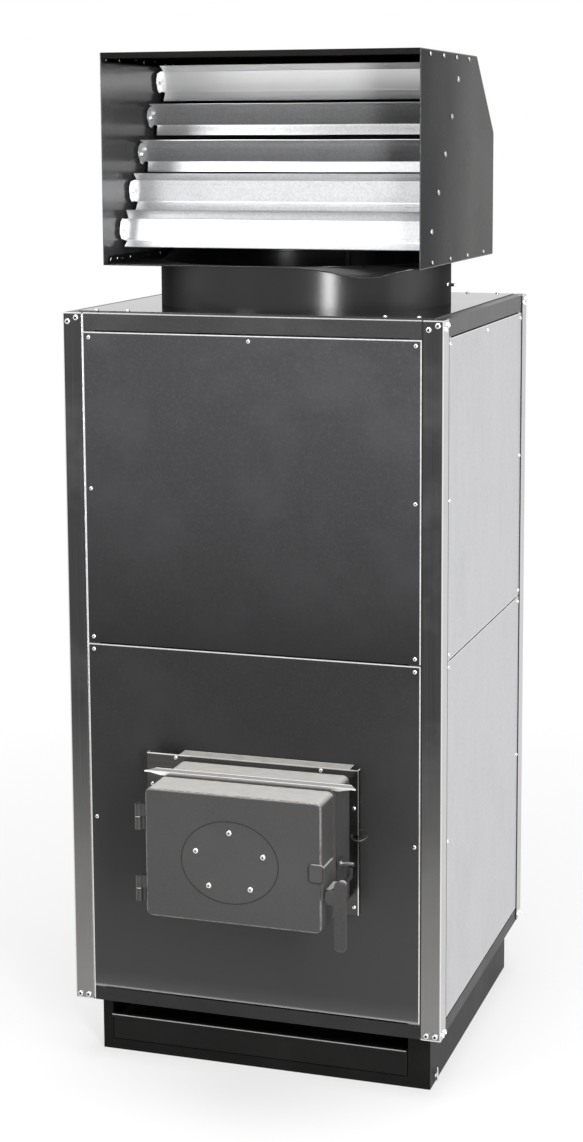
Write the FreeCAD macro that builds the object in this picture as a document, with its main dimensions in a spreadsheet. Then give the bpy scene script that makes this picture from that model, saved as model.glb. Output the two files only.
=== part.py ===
import FreeCAD, Part
import math
import os
import Sketcher

# Wood-fired air heater: a plinth with an ash drawer, a panelled casing around a firebox drum,
# a fire door on a neck, and a round collar that carries a louvre head.
# The floor is z = 0, the door faces -Y, and the casing's middle is over the origin.

doc = FreeCAD.newDocument("AirHeater")
sheet = doc.addObject("Spreadsheet::Sheet", "dims")


class Size:
    """A length or angle that carries its formula of sheet cells beside its number."""

    def __init__(self, text, number):
        self.text = text
        self.number = number

    @staticmethod
    def of(thing):
        """Take a plain number as a size."""
        return thing if isinstance(thing, Size) else Size("(%r)" % thing, float(thing))

    def __add__(self, other):
        other = Size.of(other)
        return Size("(%s + %s)" % (self.text, other.text), self.number + other.number)

    def __sub__(self, other):
        other = Size.of(other)
        return Size("(%s - %s)" % (self.text, other.text), self.number - other.number)

    def __mul__(self, other):
        other = Size.of(other)
        return Size("(%s * %s)" % (self.text, other.text), self.number * other.number)

    def __truediv__(self, other):
        other = Size.of(other)
        return Size("(%s / %s)" % (self.text, other.text), self.number / other.number)

    def __neg__(self):
        return Size("(-1 * %s)" % self.text, -self.number)

    def __radd__(self, other):
        return Size.of(other) + self

    def __rsub__(self, other):
        return Size.of(other) - self

    __rmul__ = __mul__


def sine(angle):
    """The sine of an angle in degrees."""
    return Size("sin(%s)" % angle.text, math.sin(math.radians(angle.number)))


def cosine(angle):
    """The cosine of an angle in degrees."""
    return Size("cos(%s)" % angle.text, math.cos(math.radians(angle.number)))


def half_tangent(angle):
    """The tangent of half an angle in degrees."""
    return Size("tan(%s / 2)" % angle.text, math.tan(math.radians(angle.number) / 2))


def slope_angle(run, rise):
    """The angle in degrees whose tangent is run over rise."""
    return Size("(atan(%s / %s) / 1 deg)" % (run.text, rise.text),
                math.degrees(math.atan2(run.number, rise.number)))


def size(alias, number):
    """Write one driving dimension into the sheet."""
    size.row += 1
    cell = "B%d" % size.row
    sheet.set("A%d" % size.row, alias.replace("_", " "))
    sheet.set(cell, str(number))
    sheet.setAlias(cell, alias)
    return Size("dims." + alias, float(number))


size.row = 0

# Casing and plinth
casing_width = size("casing_width", 700)
casing_depth = size("casing_depth", 660)
casing_height = size("casing_height", 1278)
plinth_height = size("plinth_height", 116)
plinth_inset_front = size("plinth_inset_front", 52)
plinth_inset_side = size("plinth_inset_side", 32)
plinth_inset_back = size("plinth_inset_back", 4)
plinth_wall = size("plinth_wall", 2)

# Corner posts, rails and panels
post_leg = size("post_leg", 36)
post_wall = size("post_wall", 2)
seat_step = size("seat_step", 3)
seat_leg = size("seat_leg", 24)
rail_wall = size("rail_wall", 2)
top_rail_height = size("top_rail_height", 31)
top_rail_leg = size("top_rail_leg", 45)
bottom_rail_height = size("bottom_rail_height", 25)
bottom_rail_leg = size("bottom_rail_leg", 64)
panel_wall = size("panel_wall", 1.5)
panel_gap = size("panel_gap", 3)
panel_fold = size("panel_fold", 12)
split_height = size("split_height", 679)
base_wall = size("base_wall", 2)
base_inset = size("base_inset", 14)
ash_hole = size("ash_hole", 260)
cover_wall = size("cover_wall", 2)
cover_inset = size("cover_inset", 22)
fit = size("fit", 0.3)

# Screws and bolts
screw_head = size("screw_head", 4)
screw_rise = size("screw_rise", 2.4)
screw_shank = size("screw_shank", 2)
screw_edge = size("screw_edge", 10)
screw_grip = size("screw_grip", 9)
bolt_head = size("bolt_head", 5.5)
bolt_rise = size("bolt_rise", 4)
bolt_shank = size("bolt_shank", 3)
bolt_outer = size("bolt_outer", 10)
bolt_inner = size("bolt_inner", 26)
bolt_near = size("bolt_near", 9)
bolt_far = size("bolt_far", 16)
hole_room = size("hole_room", 0.3)

# Ash drawer
drawer_edge_left = size("drawer_edge_left", 21)
drawer_edge_right = size("drawer_edge_right", 43)
drawer_bottom = size("drawer_bottom", 21)
drawer_front_height = size("drawer_front_height", 51)
drawer_mouth_rise = size("drawer_mouth_rise", 28)
drawer_length = size("drawer_length", 430)
drawer_wall = size("drawer_wall", 2)
drawer_side_room = size("drawer_side_room", 14)
drawer_lip = size("drawer_lip", 9)
drawer_lip_fold = size("drawer_lip_fold", 6)
drawer_room = size("drawer_room", 1.5)
runner_wall = size("runner_wall", 3)
runner_reach = size("runner_reach", 18)

# Collar and louvre head
collar_margin = size("collar_margin", 3)
collar_wall = size("collar_wall", 2)
collar_height = size("collar_height", 79)
collar_bolt_rise = size("collar_bolt_rise", 36)
head_width = size("head_width", 587)
head_depth = size("head_depth", 548)
head_height = size("head_height", 375)
head_top_depth = size("head_top_depth", 405)
head_bend_height = size("head_bend_height", 234)
head_wall = size("head_wall", 1.5)
head_fold = size("head_fold", 16)
head_screw_edge = size("head_screw_edge", 8)
blade_web = size("blade_web", 44.5)
blade_lip = size("blade_lip", 21)
blade_lip_turn = size("blade_lip_turn", 46)
blade_lip_inset = size("blade_lip_inset", 8)
blade_wall = size("blade_wall", 1.2)
blade_tab_depth = size("blade_tab_depth", 20)
blade_tab_height = size("blade_tab_height", 40)
blade_tab_chamfer = size("blade_tab_chamfer", 8)
blade_end_gap = size("blade_end_gap", 5)
blade_tilt_open = size("blade_tilt_open", 6)
blade_tilt_shut = size("blade_tilt_shut", 30)
blade_tilt_top = size("blade_tilt_top", 14)
blade_tilt_bottom = size("blade_tilt_bottom", 10)
pivot_offset = size("pivot_offset", 8)
pivot_radius = size("pivot_radius", 3)
pivot_room = size("pivot_room", 0.08)
first_pivot_back = size("first_pivot_back", 75)
first_pivot_up = size("first_pivot_up", 62)
pivot_pitch_back = size("pivot_pitch_back", 46.7)
pivot_pitch_up = size("pivot_pitch_up", 66.6)

# Fire neck, flange and visor
neck_width = size("neck_width", 318)
neck_height = size("neck_height", 230)
neck_offset = size("neck_offset", 33)
neck_rise = size("neck_rise", 252)
neck_reach = size("neck_reach", 107)
neck_wall = size("neck_wall", 4)
neck_corner = size("neck_corner", 12)
flange_width = size("flange_width", 396)
flange_offset = size("flange_offset", 11)
flange_below = size("flange_below", 22)
flange_above = size("flange_above", 11)
flange_standoff = size("flange_standoff", 30)
flange_wall = size("flange_wall", 2)
flange_fold = size("flange_fold", 9)
flange_roof = size("flange_roof", 29)
flange_screw_head = size("flange_screw_head", 3.6)
visor_overhang = size("visor_overhang", 35)
visor_depth = size("visor_depth", 22)
visor_wall = size("visor_wall", 2)
visor_lip = size("visor_lip", 6)
visor_taper = size("visor_taper", 14)
visor_lip_taper = size("visor_lip_taper", 30)
visor_front = size("visor_front", 2.5)
loop_radius = size("loop_radius", 14)
loop_wire = size("loop_wire", 1.7)
loop_drop = size("loop_drop", 106)
flange_screw_edge = size("flange_screw_edge", 8.5)
loop_edge = size("loop_edge", 13)
loop_hole_room = size("loop_hole_room", 1.4)
loop_tilt = size("loop_tilt", 25)

# Fire door
door_depth = size("door_depth", 72)
door_wall = size("door_wall", 4)
door_trim = size("door_trim", 1)
door_edge = size("door_edge", 4)
liner_wall = size("liner_wall", 5)
liner_gap = size("liner_gap", 4)
gasket_wall = size("gasket_wall", 6)
gasket_inset = size("gasket_inset", 8)
gasket_width = size("gasket_width", 14)
gasket_room = size("gasket_room", 0.5)
disc_half_width = size("disc_half_width", 87)
disc_half_height = size("disc_half_height", 72)
disc_wall = size("disc_wall", 2)
disc_room = size("disc_room", 0.8)
disc_shift = size("disc_shift", -5)
disc_drop = size("disc_drop", 5)
disc_screw_half_width = size("disc_screw_half_width", 64)
disc_screw_half_height = size("disc_screw_half_height", 53)
disc_screw_count = 5
hinge_out = size("hinge_out", 15)
hinge_back = size("hinge_back", 8)
hinge_low = size("hinge_low", 47)
hinge_high = size("hinge_high", 175)
knuckle_radius = size("knuckle_radius", 6.3)
knuckle_height = size("knuckle_height", 22)
knuckle_gap = size("knuckle_gap", 1.6)
washer_radius = size("washer_radius", 5.6)
washer_wall = size("washer_wall", 1)
pin_radius = size("pin_radius", 3.5)
pin_room = size("pin_room", 0.06)
arm_wall = size("arm_wall", 6)
arm_room = size("arm_room", 3)

# Latch
latch_out = size("latch_out", 20)
latch_rise = size("latch_rise", 71)
latch_shaft = size("latch_shaft", 5)
latch_tube_wall = size("latch_tube_wall", 4)
latch_tube_front = size("latch_tube_front", 14)
latch_tube_length = size("latch_tube_length", 42)
latch_plate_width = size("latch_plate_width", 25)
latch_plate_height = size("latch_plate_height", 31)
latch_plate_lift = size("latch_plate_lift", 21)
latch_plate_wall = size("latch_plate_wall", 4)
handle_wall = size("handle_wall", 5)
handle_gap = size("handle_gap", 2)
handle_head_left = size("handle_head_left", 11)
handle_head_right = size("handle_head_right", 27)
handle_head_top = size("handle_head_top", 13)
handle_head_bottom = size("handle_head_bottom", 13)
handle_shank_width = size("handle_shank_width", 22)
handle_length = size("handle_length", 93)
handle_top = size("handle_top", 29)
handle_corner = size("handle_corner", 6)
finger_length = size("finger_length", 17)
finger_half_width = size("finger_half_width", 5)
finger_wall = size("finger_wall", 8)
keeper_rod = size("keeper_rod", 4)
keeper_room = size("keeper_room", 2.5)
keeper_block = size("keeper_block", 6)
keeper_depth = size("keeper_depth", 24)

# Firebox and flue
chamber_radius = size("chamber_radius", 220)
chamber_wall = size("chamber_wall", 4)
chamber_leg = size("chamber_leg", 40)
chamber_leg_width = size("chamber_leg_width", 36)
chamber_height = size("chamber_height", 1030)
chamber_forward = size("chamber_forward", 30)
chamber_mouth = size("chamber_mouth", 150)
neck_inside = size("neck_inside", 120)
lining_wall = size("lining_wall", 36)
lining_height = size("lining_height", 176)
grate_wall = size("grate_wall", 14)
grate_slot = size("grate_slot", 14)
grate_pitch = size("grate_pitch", 40)
grate_slots = 7
flue_radius = size("flue_radius", 75)
flue_wall = size("flue_wall", 2)
flue_step = size("flue_step", 1)
flue_rose = size("flue_rose", 18)
flue_rose_wall = size("flue_rose_wall", 3)
flue_stub = size("flue_stub", 60)
flue_below_top = size("flue_below_top", 110)
flue_inside = size("flue_inside", 30)

# Fan
fan_rise = size("fan_rise", 300)
fan_radius = size("fan_radius", 190)
fan_ring_wall = size("fan_ring_wall", 2)
fan_ring_depth = size("fan_ring_depth", 60)
guard_wire = size("guard_wire", 2.5)
guard_rings = 5
guard_spokes = 8
guard_plate = size("guard_plate", 46)
guard_plate_wall = size("guard_plate_wall", 3)
motor_radius = size("motor_radius", 42)
motor_length = size("motor_length", 36)
motor_shaft = size("motor_shaft", 6)
motor_shaft_length = size("motor_shaft_length", 46)
hub_radius = size("hub_radius", 48)
hub_length = size("hub_length", 40)
hub_room = size("hub_room", 0.06)
hub_gap = size("hub_gap", 3)
fan_blades = 6
fan_blade_width = size("fan_blade_width", 62)
fan_blade_wall = size("fan_blade_wall", 3)
fan_blade_pitch = size("fan_blade_pitch", 32)
fan_tip_room = size("fan_tip_room", 6)

AXES = {
    "+X": FreeCAD.Vector(1, 0, 0),
    "-X": FreeCAD.Vector(-1, 0, 0),
    "+Y": FreeCAD.Vector(0, 1, 0),
    "-Y": FreeCAD.Vector(0, -1, 0),
    "+Z": FreeCAD.Vector(0, 0, 1),
    "-Z": FreeCAD.Vector(0, 0, -1),
}
SIDES = ("front", "rear", "left", "right")

nodes = []


def bind(thing, **formulas):
    """Bind properties of an object to sizes, with dots written as two underscores."""
    for name, formula in formulas.items():
        thing.setExpression(name.replace("__", "."), Size.of(formula).text)
    return thing


def place(thing, x, y, z):
    """Bind an object's place to sizes."""
    return bind(thing, Placement__Base__x=x, Placement__Base__y=y, Placement__Base__z=z)


def new(kind, name):
    """Add an object to the document."""
    return doc.addObject(kind, name)


def node(thing, name):
    """Mark an object as one of the sub-parts that are written out."""
    thing.Label = name
    nodes.append(thing)
    return thing


def block(name, x, y, z):
    """A box between pairs of sizes on each axis."""
    thing = bind(new("Part::Box", name), Length=x[1] - x[0], Width=y[1] - y[0], Height=z[1] - z[0])
    return place(thing, x[0], y[0], z[0])


def rod(name, start, axis, radius, length, tip_radius=None):
    """A round bar from a point along an axis, or a tapered one where it has a tip radius."""
    if tip_radius is None:
        thing = bind(new("Part::Cylinder", name), Radius=radius, Height=length)
    else:
        thing = bind(new("Part::Cone", name), Radius1=radius, Radius2=tip_radius, Height=length)
    thing.Placement.Rotation = FreeCAD.Rotation(FreeCAD.Vector(0, 0, 1), AXES[axis])
    return place(thing, *start)


def cut(name, base, *tools):
    """A solid with other solids taken out of it."""
    tool = tools[0] if len(tools) == 1 else group(name + "_tools", tools)
    thing = new("Part::Cut", name)
    thing.Base = base
    thing.Tool = tool
    return thing


def join(name, pieces):
    """One solid fused from touching solids."""
    thing = new("Part::MultiFuse", name)
    thing.Shapes = list(pieces)
    thing.Refine = True
    return thing


def group(name, pieces):
    """Separate solids kept together as one object."""
    thing = new("Part::Compound", name)
    thing.Links = list(pieces)
    return thing


def tube(name, start, axis, radius, wall, length):
    """A round tube."""
    return cut(name, rod(name + "_skin", start, axis, radius, length),
               rod(name + "_bore", start, axis, radius - wall, length))


def prism(name, plane, corners, length):
    """A body padded square to one of its origin planes from a closed outline of corners."""
    body = new("PartDesign::Body", name)
    sketch = body.newObject("Sketcher::SketchObject", name + "_outline")
    support = [item for item in body.Origin.OriginFeatures if item.Role == plane]
    sketch.AttachmentSupport = [(support[0], "")]
    sketch.MapMode = "FlatFace"
    points = [FreeCAD.Vector(Size.of(u).number, Size.of(v).number, 0) for u, v in corners]
    count = len(corners)
    for index in range(count):
        sketch.addGeometry(Part.LineSegment(points[index], points[(index + 1) % count]))
    for index, (u, v) in enumerate(corners):
        sketch.addConstraint(Sketcher.Constraint("Coincident", index, 2, (index + 1) % count, 1))
        for kind, coordinate in (("DistanceX", u), ("DistanceY", v)):
            coordinate = Size.of(coordinate)
            number = sketch.addConstraint(
                Sketcher.Constraint(kind, -1, 1, index, 1, coordinate.number))
            sketch.setExpression("Constraints[%d]" % number, coordinate.text)
    pad = body.newObject("PartDesign::Pad", name + "_pad")
    pad.Profile = sketch
    bind(pad, Length=length)
    body.Tip = pad
    return body


def rounded_block(name, x, y, z, corner):
    """A box whose four edges along Y are rounded."""
    base = block(name + "_blank", x, y, z)
    doc.recompute()
    edges = []
    for number, edge in enumerate(base.Shape.Edges, 1):
        start, end = (vertex.Point for vertex in edge.Vertexes)
        if abs(end.y - start.y) > max(abs(end.x - start.x), abs(end.z - start.z)):
            edges.append((number, corner.number, corner.number))
    thing = new("Part::Fillet", name)
    thing.Base = base
    thing.Edges = edges
    return thing


def rounded_front(name, base, level, radius):
    """A solid whose edges around its face at one depth are rounded."""
    doc.recompute()
    edges = []
    for number, edge in enumerate(base.Shape.Edges, 1):
        if all(abs(vertex.Y - level.number) < 0.001 for vertex in edge.Vertexes):
            edges.append((number, radius.number, radius.number))
    thing = new("Part::Fillet", name)
    thing.Base = base
    thing.Edges = edges
    return thing


# Places that several pieces share
half_width = casing_width / 2
half_depth = casing_depth / 2
casing_top = plinth_height + casing_height
cover_top = casing_top + cover_wall
head_base_level = cover_top + collar_height
post_inside = seat_step + post_wall
panel_face = seat_step - panel_wall
split_level = plinth_height + split_height
lower_panel_span = (plinth_height + bottom_rail_height + panel_gap, split_level - panel_gap / 2)
upper_panel_span = (split_level + panel_gap / 2, casing_top - top_rail_height - panel_gap)
neck_left = neck_offset - neck_width / 2
neck_right = neck_offset + neck_width / 2
neck_bottom = plinth_height + neck_rise
neck_top = neck_bottom + neck_height
neck_front = -half_depth - neck_reach
chamber_y = -chamber_forward


def half_span(side):
    """Half of a casing side's width."""
    return half_width if side in ("front", "rear") else half_depth


def side_range(side, across, inward):
    """Turn a range across a casing side and a depth in from its face into X and Y ranges."""
    face = half_depth if side in ("front", "rear") else half_width
    if side in ("front", "left"):
        depth = (-face + inward[0], -face + inward[1])
    else:
        depth = (face - inward[1], face - inward[0])
    return (across, depth) if side in ("front", "rear") else (depth, across)


def side_block(name, side, across, inward, z):
    """A box placed against one side of the casing."""
    x, y = side_range(side, across, inward)
    return block(name, x, y, z)


def side_rod(name, side, across, inward, z, radius, length, outward=False, tip_radius=None):
    """A round bar square to one side of the casing, starting at a depth in from its face."""
    x, y = side_range(side, (across, across), (inward, inward))
    towards = {"front": "+Y", "rear": "-Y", "left": "+X", "right": "-X"}
    away = {"front": "-Y", "rear": "+Y", "left": "-X", "right": "+X"}
    axis = away[side] if outward else towards[side]
    return rod(name, (x[0], y[0], z), axis, radius, length, tip_radius)


# Corner posts: joggled angles that give the panels a seat
def post_outline(side_x, side_y):
    """The corners of one post's section, walked from its outer corner."""
    seat_end = post_leg + seat_leg
    leg = [(0, 0), (post_leg, 0), (post_leg, seat_step), (seat_end, seat_step), (seat_end, post_inside),
           (post_leg - post_wall, post_inside), (post_leg - post_wall, post_wall), (post_wall, post_wall)]
    other_leg = [(inward, along) for along, inward in reversed(leg[1:-1])]
    return [(side_x * (half_width - u), side_y * (half_depth - v)) for u, v in leg + other_leg]


# Screw places on the panels and bolt places on the posts, as distances across a side and heights
def upper_screw_places(side):
    """Screws around an upper panel."""
    edge = half_span(side) - post_leg - panel_gap - screw_edge
    low, high = upper_panel_span[0] + screw_edge, upper_panel_span[1] - screw_edge
    middle = (low + high) / 2
    places = [(reach, level) for level in (low, middle, high) for reach in (-edge, edge)]
    return places + [(edge * 0, high)]


def lower_screw_places(side):
    """Screws at the top and the middle of a lower panel's upright edges."""
    edge = half_span(side) - post_leg - panel_gap - screw_edge
    middle = (lower_panel_span[0] + lower_panel_span[1]) / 2
    top = lower_panel_span[1] - screw_edge
    return [(reach, level) for level in (middle, top) for reach in (-edge, edge)]


def bolt_places(side):
    """Two bolts at each end of each post leg on a side."""
    outer, inner = half_span(side) - bolt_outer, half_span(side) - bolt_inner
    low, high = plinth_height, casing_top
    places = [(-outer, high - bolt_far), (-inner, high - bolt_near)]
    places += [(inner, high - bolt_far), (outer, high - bolt_near)]
    places += [(reach, low + bolt_near) for reach in (-outer, -inner, inner, outer)]
    return places


def screw(name, side, across, z):
    """A pan-head screw seated on a panel's face."""
    head = side_rod(name + "_head", side, across, panel_face, z, screw_head, screw_rise, True,
                    screw_head * 0.7)
    shank = side_rod(name + "_shank", side, across, panel_face, z, screw_shank, screw_grip)
    return join(name, [head, shank])


def bolt(name, side, across, z):
    """A bolt seated on a post's face."""
    head = side_rod(name + "_head", side, across, Size.of(0), z, bolt_head, bolt_rise, True,
                    bolt_head * 0.75)
    shank = side_rod(name + "_shank", side, across, Size.of(0), z, bolt_shank,
                     post_inside + rail_wall + screw_rise)
    return join(name, [head, shank])


casing_screws = []
frame_bolts = []
side_holes = {}
for side in SIDES:
    holes = []
    for number, (across, z) in enumerate(upper_screw_places(side) + lower_screw_places(side)):
        name = "%s_screw_%d" % (side, number)
        casing_screws.append(screw(name, side, across, z))
        holes.append(side_rod(name + "_hole", side, across, Size.of(0), z, screw_shank + hole_room,
                              seat_step + screw_grip))
    for number, (across, z) in enumerate(bolt_places(side)):
        name = "%s_bolt_%d" % (side, number)
        frame_bolts.append(bolt(name, side, across, z))
        holes.append(side_rod(name + "_hole", side, across, Size.of(0), z, bolt_shank + hole_room,
                              post_inside + rail_wall + seat_step))
    side_holes[side] = holes

for side_x, across_name in ((-1, "left"), (1, "right")):
    for side_y, depth_name in ((-1, "front"), (1, "rear")):
        name = "corner_post_%s_%s" % (depth_name, across_name)
        blank = prism(name + "_blank", "XY_Plane", post_outline(side_x, side_y), casing_height)
        place(blank, 0, 0, plinth_height)
        node(cut(name, blank, *(side_holes[depth_name] + side_holes[across_name])), name)


# Rail frames: a flat ring with upright legs between the posts and tabs behind them
def rail_frame(name, flat, leg, ring_leg):
    """A frame of four rails, from the heights of its flat ring and of its upright legs."""
    pieces = []
    ring = cut(name + "_ring",
               block(name + "_ring_blank", (-half_width + post_inside, half_width - post_inside),
                     (-half_depth + post_inside, half_depth - post_inside), flat),
               block(name + "_ring_hole", (-half_width + ring_leg, half_width - ring_leg),
                     (-half_depth + ring_leg, half_depth - ring_leg), flat))
    pieces.append(ring)
    for side in SIDES:
        reach = half_span(side) - post_leg - panel_gap
        bridge = half_span(side) - post_leg - seat_leg - fit
        pieces.append(side_block(name + "_leg", side, (-reach, reach), (panel_face, seat_step), leg))
        pieces.append(side_block(name + "_bridge", side, (-bridge, bridge), (panel_face, post_inside),
                                 flat))
        for end in (-1, 1):
            tab_ends = sorted((end * (half_span(side) - post_inside),
                               end * (half_span(side) - post_leg + post_wall + fit)),
                              key=lambda item: item.number)
            pieces.append(side_block(name + "_tab", side, tab_ends, (post_wall, post_inside + rail_wall),
                                     leg))
    every_hole = [hole for side in SIDES for hole in side_holes[side]]
    return node(cut(name, join(name + "_blank", pieces), *every_hole), name)


rail_frame("top_frame", (casing_top - rail_wall, casing_top), (casing_top - top_rail_height, casing_top),
           top_rail_leg)
rail_frame("bottom_frame", (plinth_height, plinth_height + rail_wall),
           (plinth_height, plinth_height + bottom_rail_height), bottom_rail_leg)

base_floor = plinth_height + rail_wall
node(cut("base_plate",
         block("base_blank", (-half_width + base_inset, half_width - base_inset),
               (-half_depth + base_inset, half_depth - base_inset), (base_floor, base_floor + base_wall)),
         block("base_hole", (-ash_hole / 2, ash_hole / 2),
               (chamber_y - ash_hole / 2, chamber_y + ash_hole / 2),
               (base_floor, base_floor + base_wall))), "base_plate")


# Panels: flat sheets with folds along their top and bottom edges
def panel(name, side, span, openings=()):
    """A casing panel between two heights, with any openings cut through it."""
    reach = half_span(side) - post_leg - panel_gap
    fold = half_span(side) - post_leg - seat_leg - fit
    sheet_block = side_block(name + "_sheet", side, (-reach, reach), (panel_face, seat_step), span)
    folds = [side_block(name + "_fold", side, (-fold, fold), (panel_face, seat_step + panel_fold), edge)
             for edge in ((span[0], span[0] + panel_wall), (span[1] - panel_wall, span[1]))]
    blank = join(name + "_blank", [sheet_block] + folds)
    return node(cut(name, blank, *(side_holes[side] + list(openings))), name)


neck_span_x = (neck_left, neck_right)
neck_span_z = (neck_bottom, neck_top)
neck_span_y = (neck_front, -neck_inside + chamber_y * 0)


def grown(span, room):
    """A span widened at both ends."""
    return (span[0] - room, span[1] + room)


flange_left = flange_offset - flange_width / 2
flange_right = flange_offset + flange_width / 2
flange_span_z = (neck_bottom - flange_below, neck_top + flange_above)
flange_back = -half_depth - flange_standoff
flange_front = flange_back - flange_wall
flange_screw_places = [
    (neck_left - flange_above / 2, neck_top + flange_above / 2),
    (neck_right - neck_wall * 13, neck_top + flange_above / 2),
    (flange_left + screw_edge, neck_top - neck_height / 5),
    (flange_left + screw_edge, neck_bottom),
    (flange_right - flange_screw_edge, neck_top - neck_height / 4),
    (flange_right - flange_screw_edge, neck_bottom - flange_below / 3),
]
flange_screw_holes = [
    rod("flange_screw_hole", (x, flange_front, z), "+Y", screw_shank + hole_room,
        flange_standoff + flange_wall + seat_step + screw_rise)
    for x, z in flange_screw_places
]
neck_hole = rounded_block("neck_hole", grown(neck_span_x, fit), (neck_front, -neck_inside),
                          grown(neck_span_z, fit),
                          neck_corner + fit)

panel("front_upper_panel", "front", upper_panel_span)
panel("front_lower_panel", "front", lower_panel_span, [neck_hole] + flange_screw_holes)
panel("left_upper_panel", "left", upper_panel_span)
panel("left_lower_panel", "left", lower_panel_span)
panel("right_upper_panel", "right", upper_panel_span)
panel("right_lower_panel", "right", lower_panel_span)

chamber_base = base_floor + base_wall + chamber_leg
chamber_top = chamber_base + chamber_height
flue_level = chamber_top - flue_below_top
fan_level = plinth_height + fan_rise
rear_face = half_depth - panel_face
flue_start = (Size.of(0), chamber_y + chamber_radius - flue_inside, flue_level)
flue_length = rear_face + flue_stub - flue_start[1]
panel("rear_upper_panel", "rear", upper_panel_span,
      [rod("flue_panel_hole", flue_start, "+Y", flue_radius - flue_step + fit, flue_length)])
panel("rear_lower_panel", "rear", lower_panel_span,
      [rod("fan_panel_hole", (Size.of(0), half_depth - panel_fold - seat_step, fan_level), "+Y",
           fan_radius - fan_ring_wall, panel_fold + seat_step)])

# Plinth: a pan with a floor, and the drawer's mouth in its front wall
plinth_x = (-half_width + plinth_inset_side, half_width - plinth_inset_side)
plinth_y = (-half_depth + plinth_inset_front, half_depth - plinth_inset_back)
plinth_front = plinth_y[0]
drawer_x = (plinth_x[0] + drawer_edge_left, plinth_x[1] - drawer_edge_right)
drawer_top = drawer_bottom + drawer_front_height
node(cut("plinth",
         block("plinth_blank", plinth_x, plinth_y, (Size.of(0), plinth_height)),
         block("plinth_hollow", grown(plinth_x, -plinth_wall), grown(plinth_y, -plinth_wall),
               (plinth_wall, plinth_height)),
         block("plinth_mouth", grown(drawer_x, drawer_room),
               (plinth_front, plinth_front + plinth_wall),
               (drawer_bottom - drawer_room, drawer_top + drawer_mouth_rise))), "plinth")

# Ash drawer: a tray behind a front plate whose top edge is folded forward as a grip
tray_x = grown(drawer_x, -drawer_side_room)
tray_y = (plinth_front + drawer_wall, plinth_front + drawer_length)
tray_z = (drawer_bottom + drawer_wall, drawer_top - drawer_wall)
drawer_front = block("drawer_front", drawer_x, (plinth_front, plinth_front + drawer_wall),
                     (drawer_bottom, drawer_top))
drawer_grip = block("drawer_grip", drawer_x, (plinth_front - drawer_lip, plinth_front),
                    (drawer_top - drawer_wall, drawer_top))
drawer_grip_fold = block("drawer_grip_fold", drawer_x,
                         (plinth_front - drawer_lip, plinth_front - drawer_lip + drawer_wall),
                         (drawer_top - drawer_lip_fold, drawer_top - drawer_wall))
drawer_tray = cut("drawer_tray", block("tray_blank", tray_x, tray_y, tray_z),
                  block("tray_hollow", grown(tray_x, -drawer_wall),
                        (tray_y[0], tray_y[1] - drawer_wall), (tray_z[0] + drawer_wall, tray_z[1])))
node(join("ash_drawer", [drawer_front, drawer_grip, drawer_grip_fold, drawer_tray]), "ash_drawer")

runner_z = (tray_z[0] - fit - runner_wall, tray_z[0] - fit)
runner_y = (tray_y[0] + fit, plinth_y[1] - plinth_wall)
node(group("drawer_runners", [
    block("runner_left", (plinth_x[0] + plinth_wall, tray_x[0] + runner_reach), runner_y, runner_z),
    block("runner_right", (tray_x[1] - runner_reach, plinth_x[1] - plinth_wall), runner_y, runner_z),
]), "drawer_runners")

# Top cover and its screws
cover_x = (-half_width + cover_inset, half_width - cover_inset)
cover_y = (-half_depth + cover_inset, half_depth - cover_inset)
collar_radius = head_depth / 2 - collar_margin
collar_bore = collar_radius - collar_wall
cover_screw_places = [(end * (cover_x[1] - screw_edge * step), row * (cover_y[1] - screw_edge))
                      for row in (-1, 1) for end in (-1, 1) for step in (3, 9)]
cover_holes = [rod("cover_hole", (x, y, casing_top - screw_grip), "+Z", screw_shank + hole_room,
                   screw_grip + cover_wall) for x, y in cover_screw_places]
node(cut("top_cover", block("cover_blank", cover_x, cover_y, (casing_top, cover_top)),
         rod("cover_mouth", (Size.of(0), Size.of(0), casing_top), "+Z", collar_bore, cover_wall),
         *cover_holes), "top_cover")
for number, (x, y) in enumerate(cover_screw_places):
    head = rod("cover_screw_head", (x, y, cover_top), "+Z", screw_head, screw_rise, screw_head * 0.7)
    shank = rod("cover_screw_shank", (x, y, cover_top - cover_wall), "+Z", screw_shank, cover_wall)
    casing_screws.append(join("cover_screw_%d" % number, [head, shank]))
node(group("casing_screws", casing_screws), "casing_screws")
node(group("frame_bolts", frame_bolts), "frame_bolts")

# Outlet collar, with bolts through its wall at the right and at the back
collar_bolt_level = cover_top + collar_bolt_rise
collar_bolts = []
collar_bolt_holes = []
for axis, side_x, side_y in (("+X", 1, 0), ("+Y", 0, 1)):
    seat = (side_x * collar_radius, side_y * collar_radius, collar_bolt_level)
    inside = collar_radius - collar_wall * 4
    start = (side_x * inside, side_y * inside, collar_bolt_level)
    head = rod("collar_bolt_head", (seat[0] + side_x * fit, seat[1] + side_y * fit, seat[2]), axis,
               bolt_head, bolt_rise, bolt_head * 0.75)
    shank = rod("collar_bolt_shank", start, axis, bolt_shank, collar_wall * 4 + bolt_rise)
    collar_bolts.append(join("collar_bolt" + axis[1], [head, shank]))
    collar_bolt_holes.append(rod("collar_bolt_hole", start, axis, bolt_shank + hole_room, collar_wall * 5))
node(group("collar_bolts", collar_bolts), "collar_bolts")
node(cut("outlet_collar",
         tube("collar_tube", (Size.of(0), Size.of(0), cover_top), "+Z", collar_radius, collar_wall,
              collar_height),
         *collar_bolt_holes), "outlet_collar")

# Louvre head: a base, two side plates and one bent hood
half_head = head_width / 2
head_inside = half_head - head_wall
head_front = -head_depth / 2
head_back = head_depth / 2
head_top_level = head_base_level + head_height
bend_level = head_base_level + head_bend_height
top_back = head_front + head_top_depth
head_flange_x = (head_inside - head_wall, head_inside)
head_flange_y = (head_front + head_fold, head_back - head_fold)
top_flange_y = (head_front + head_fold, top_back - head_fold)


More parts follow.
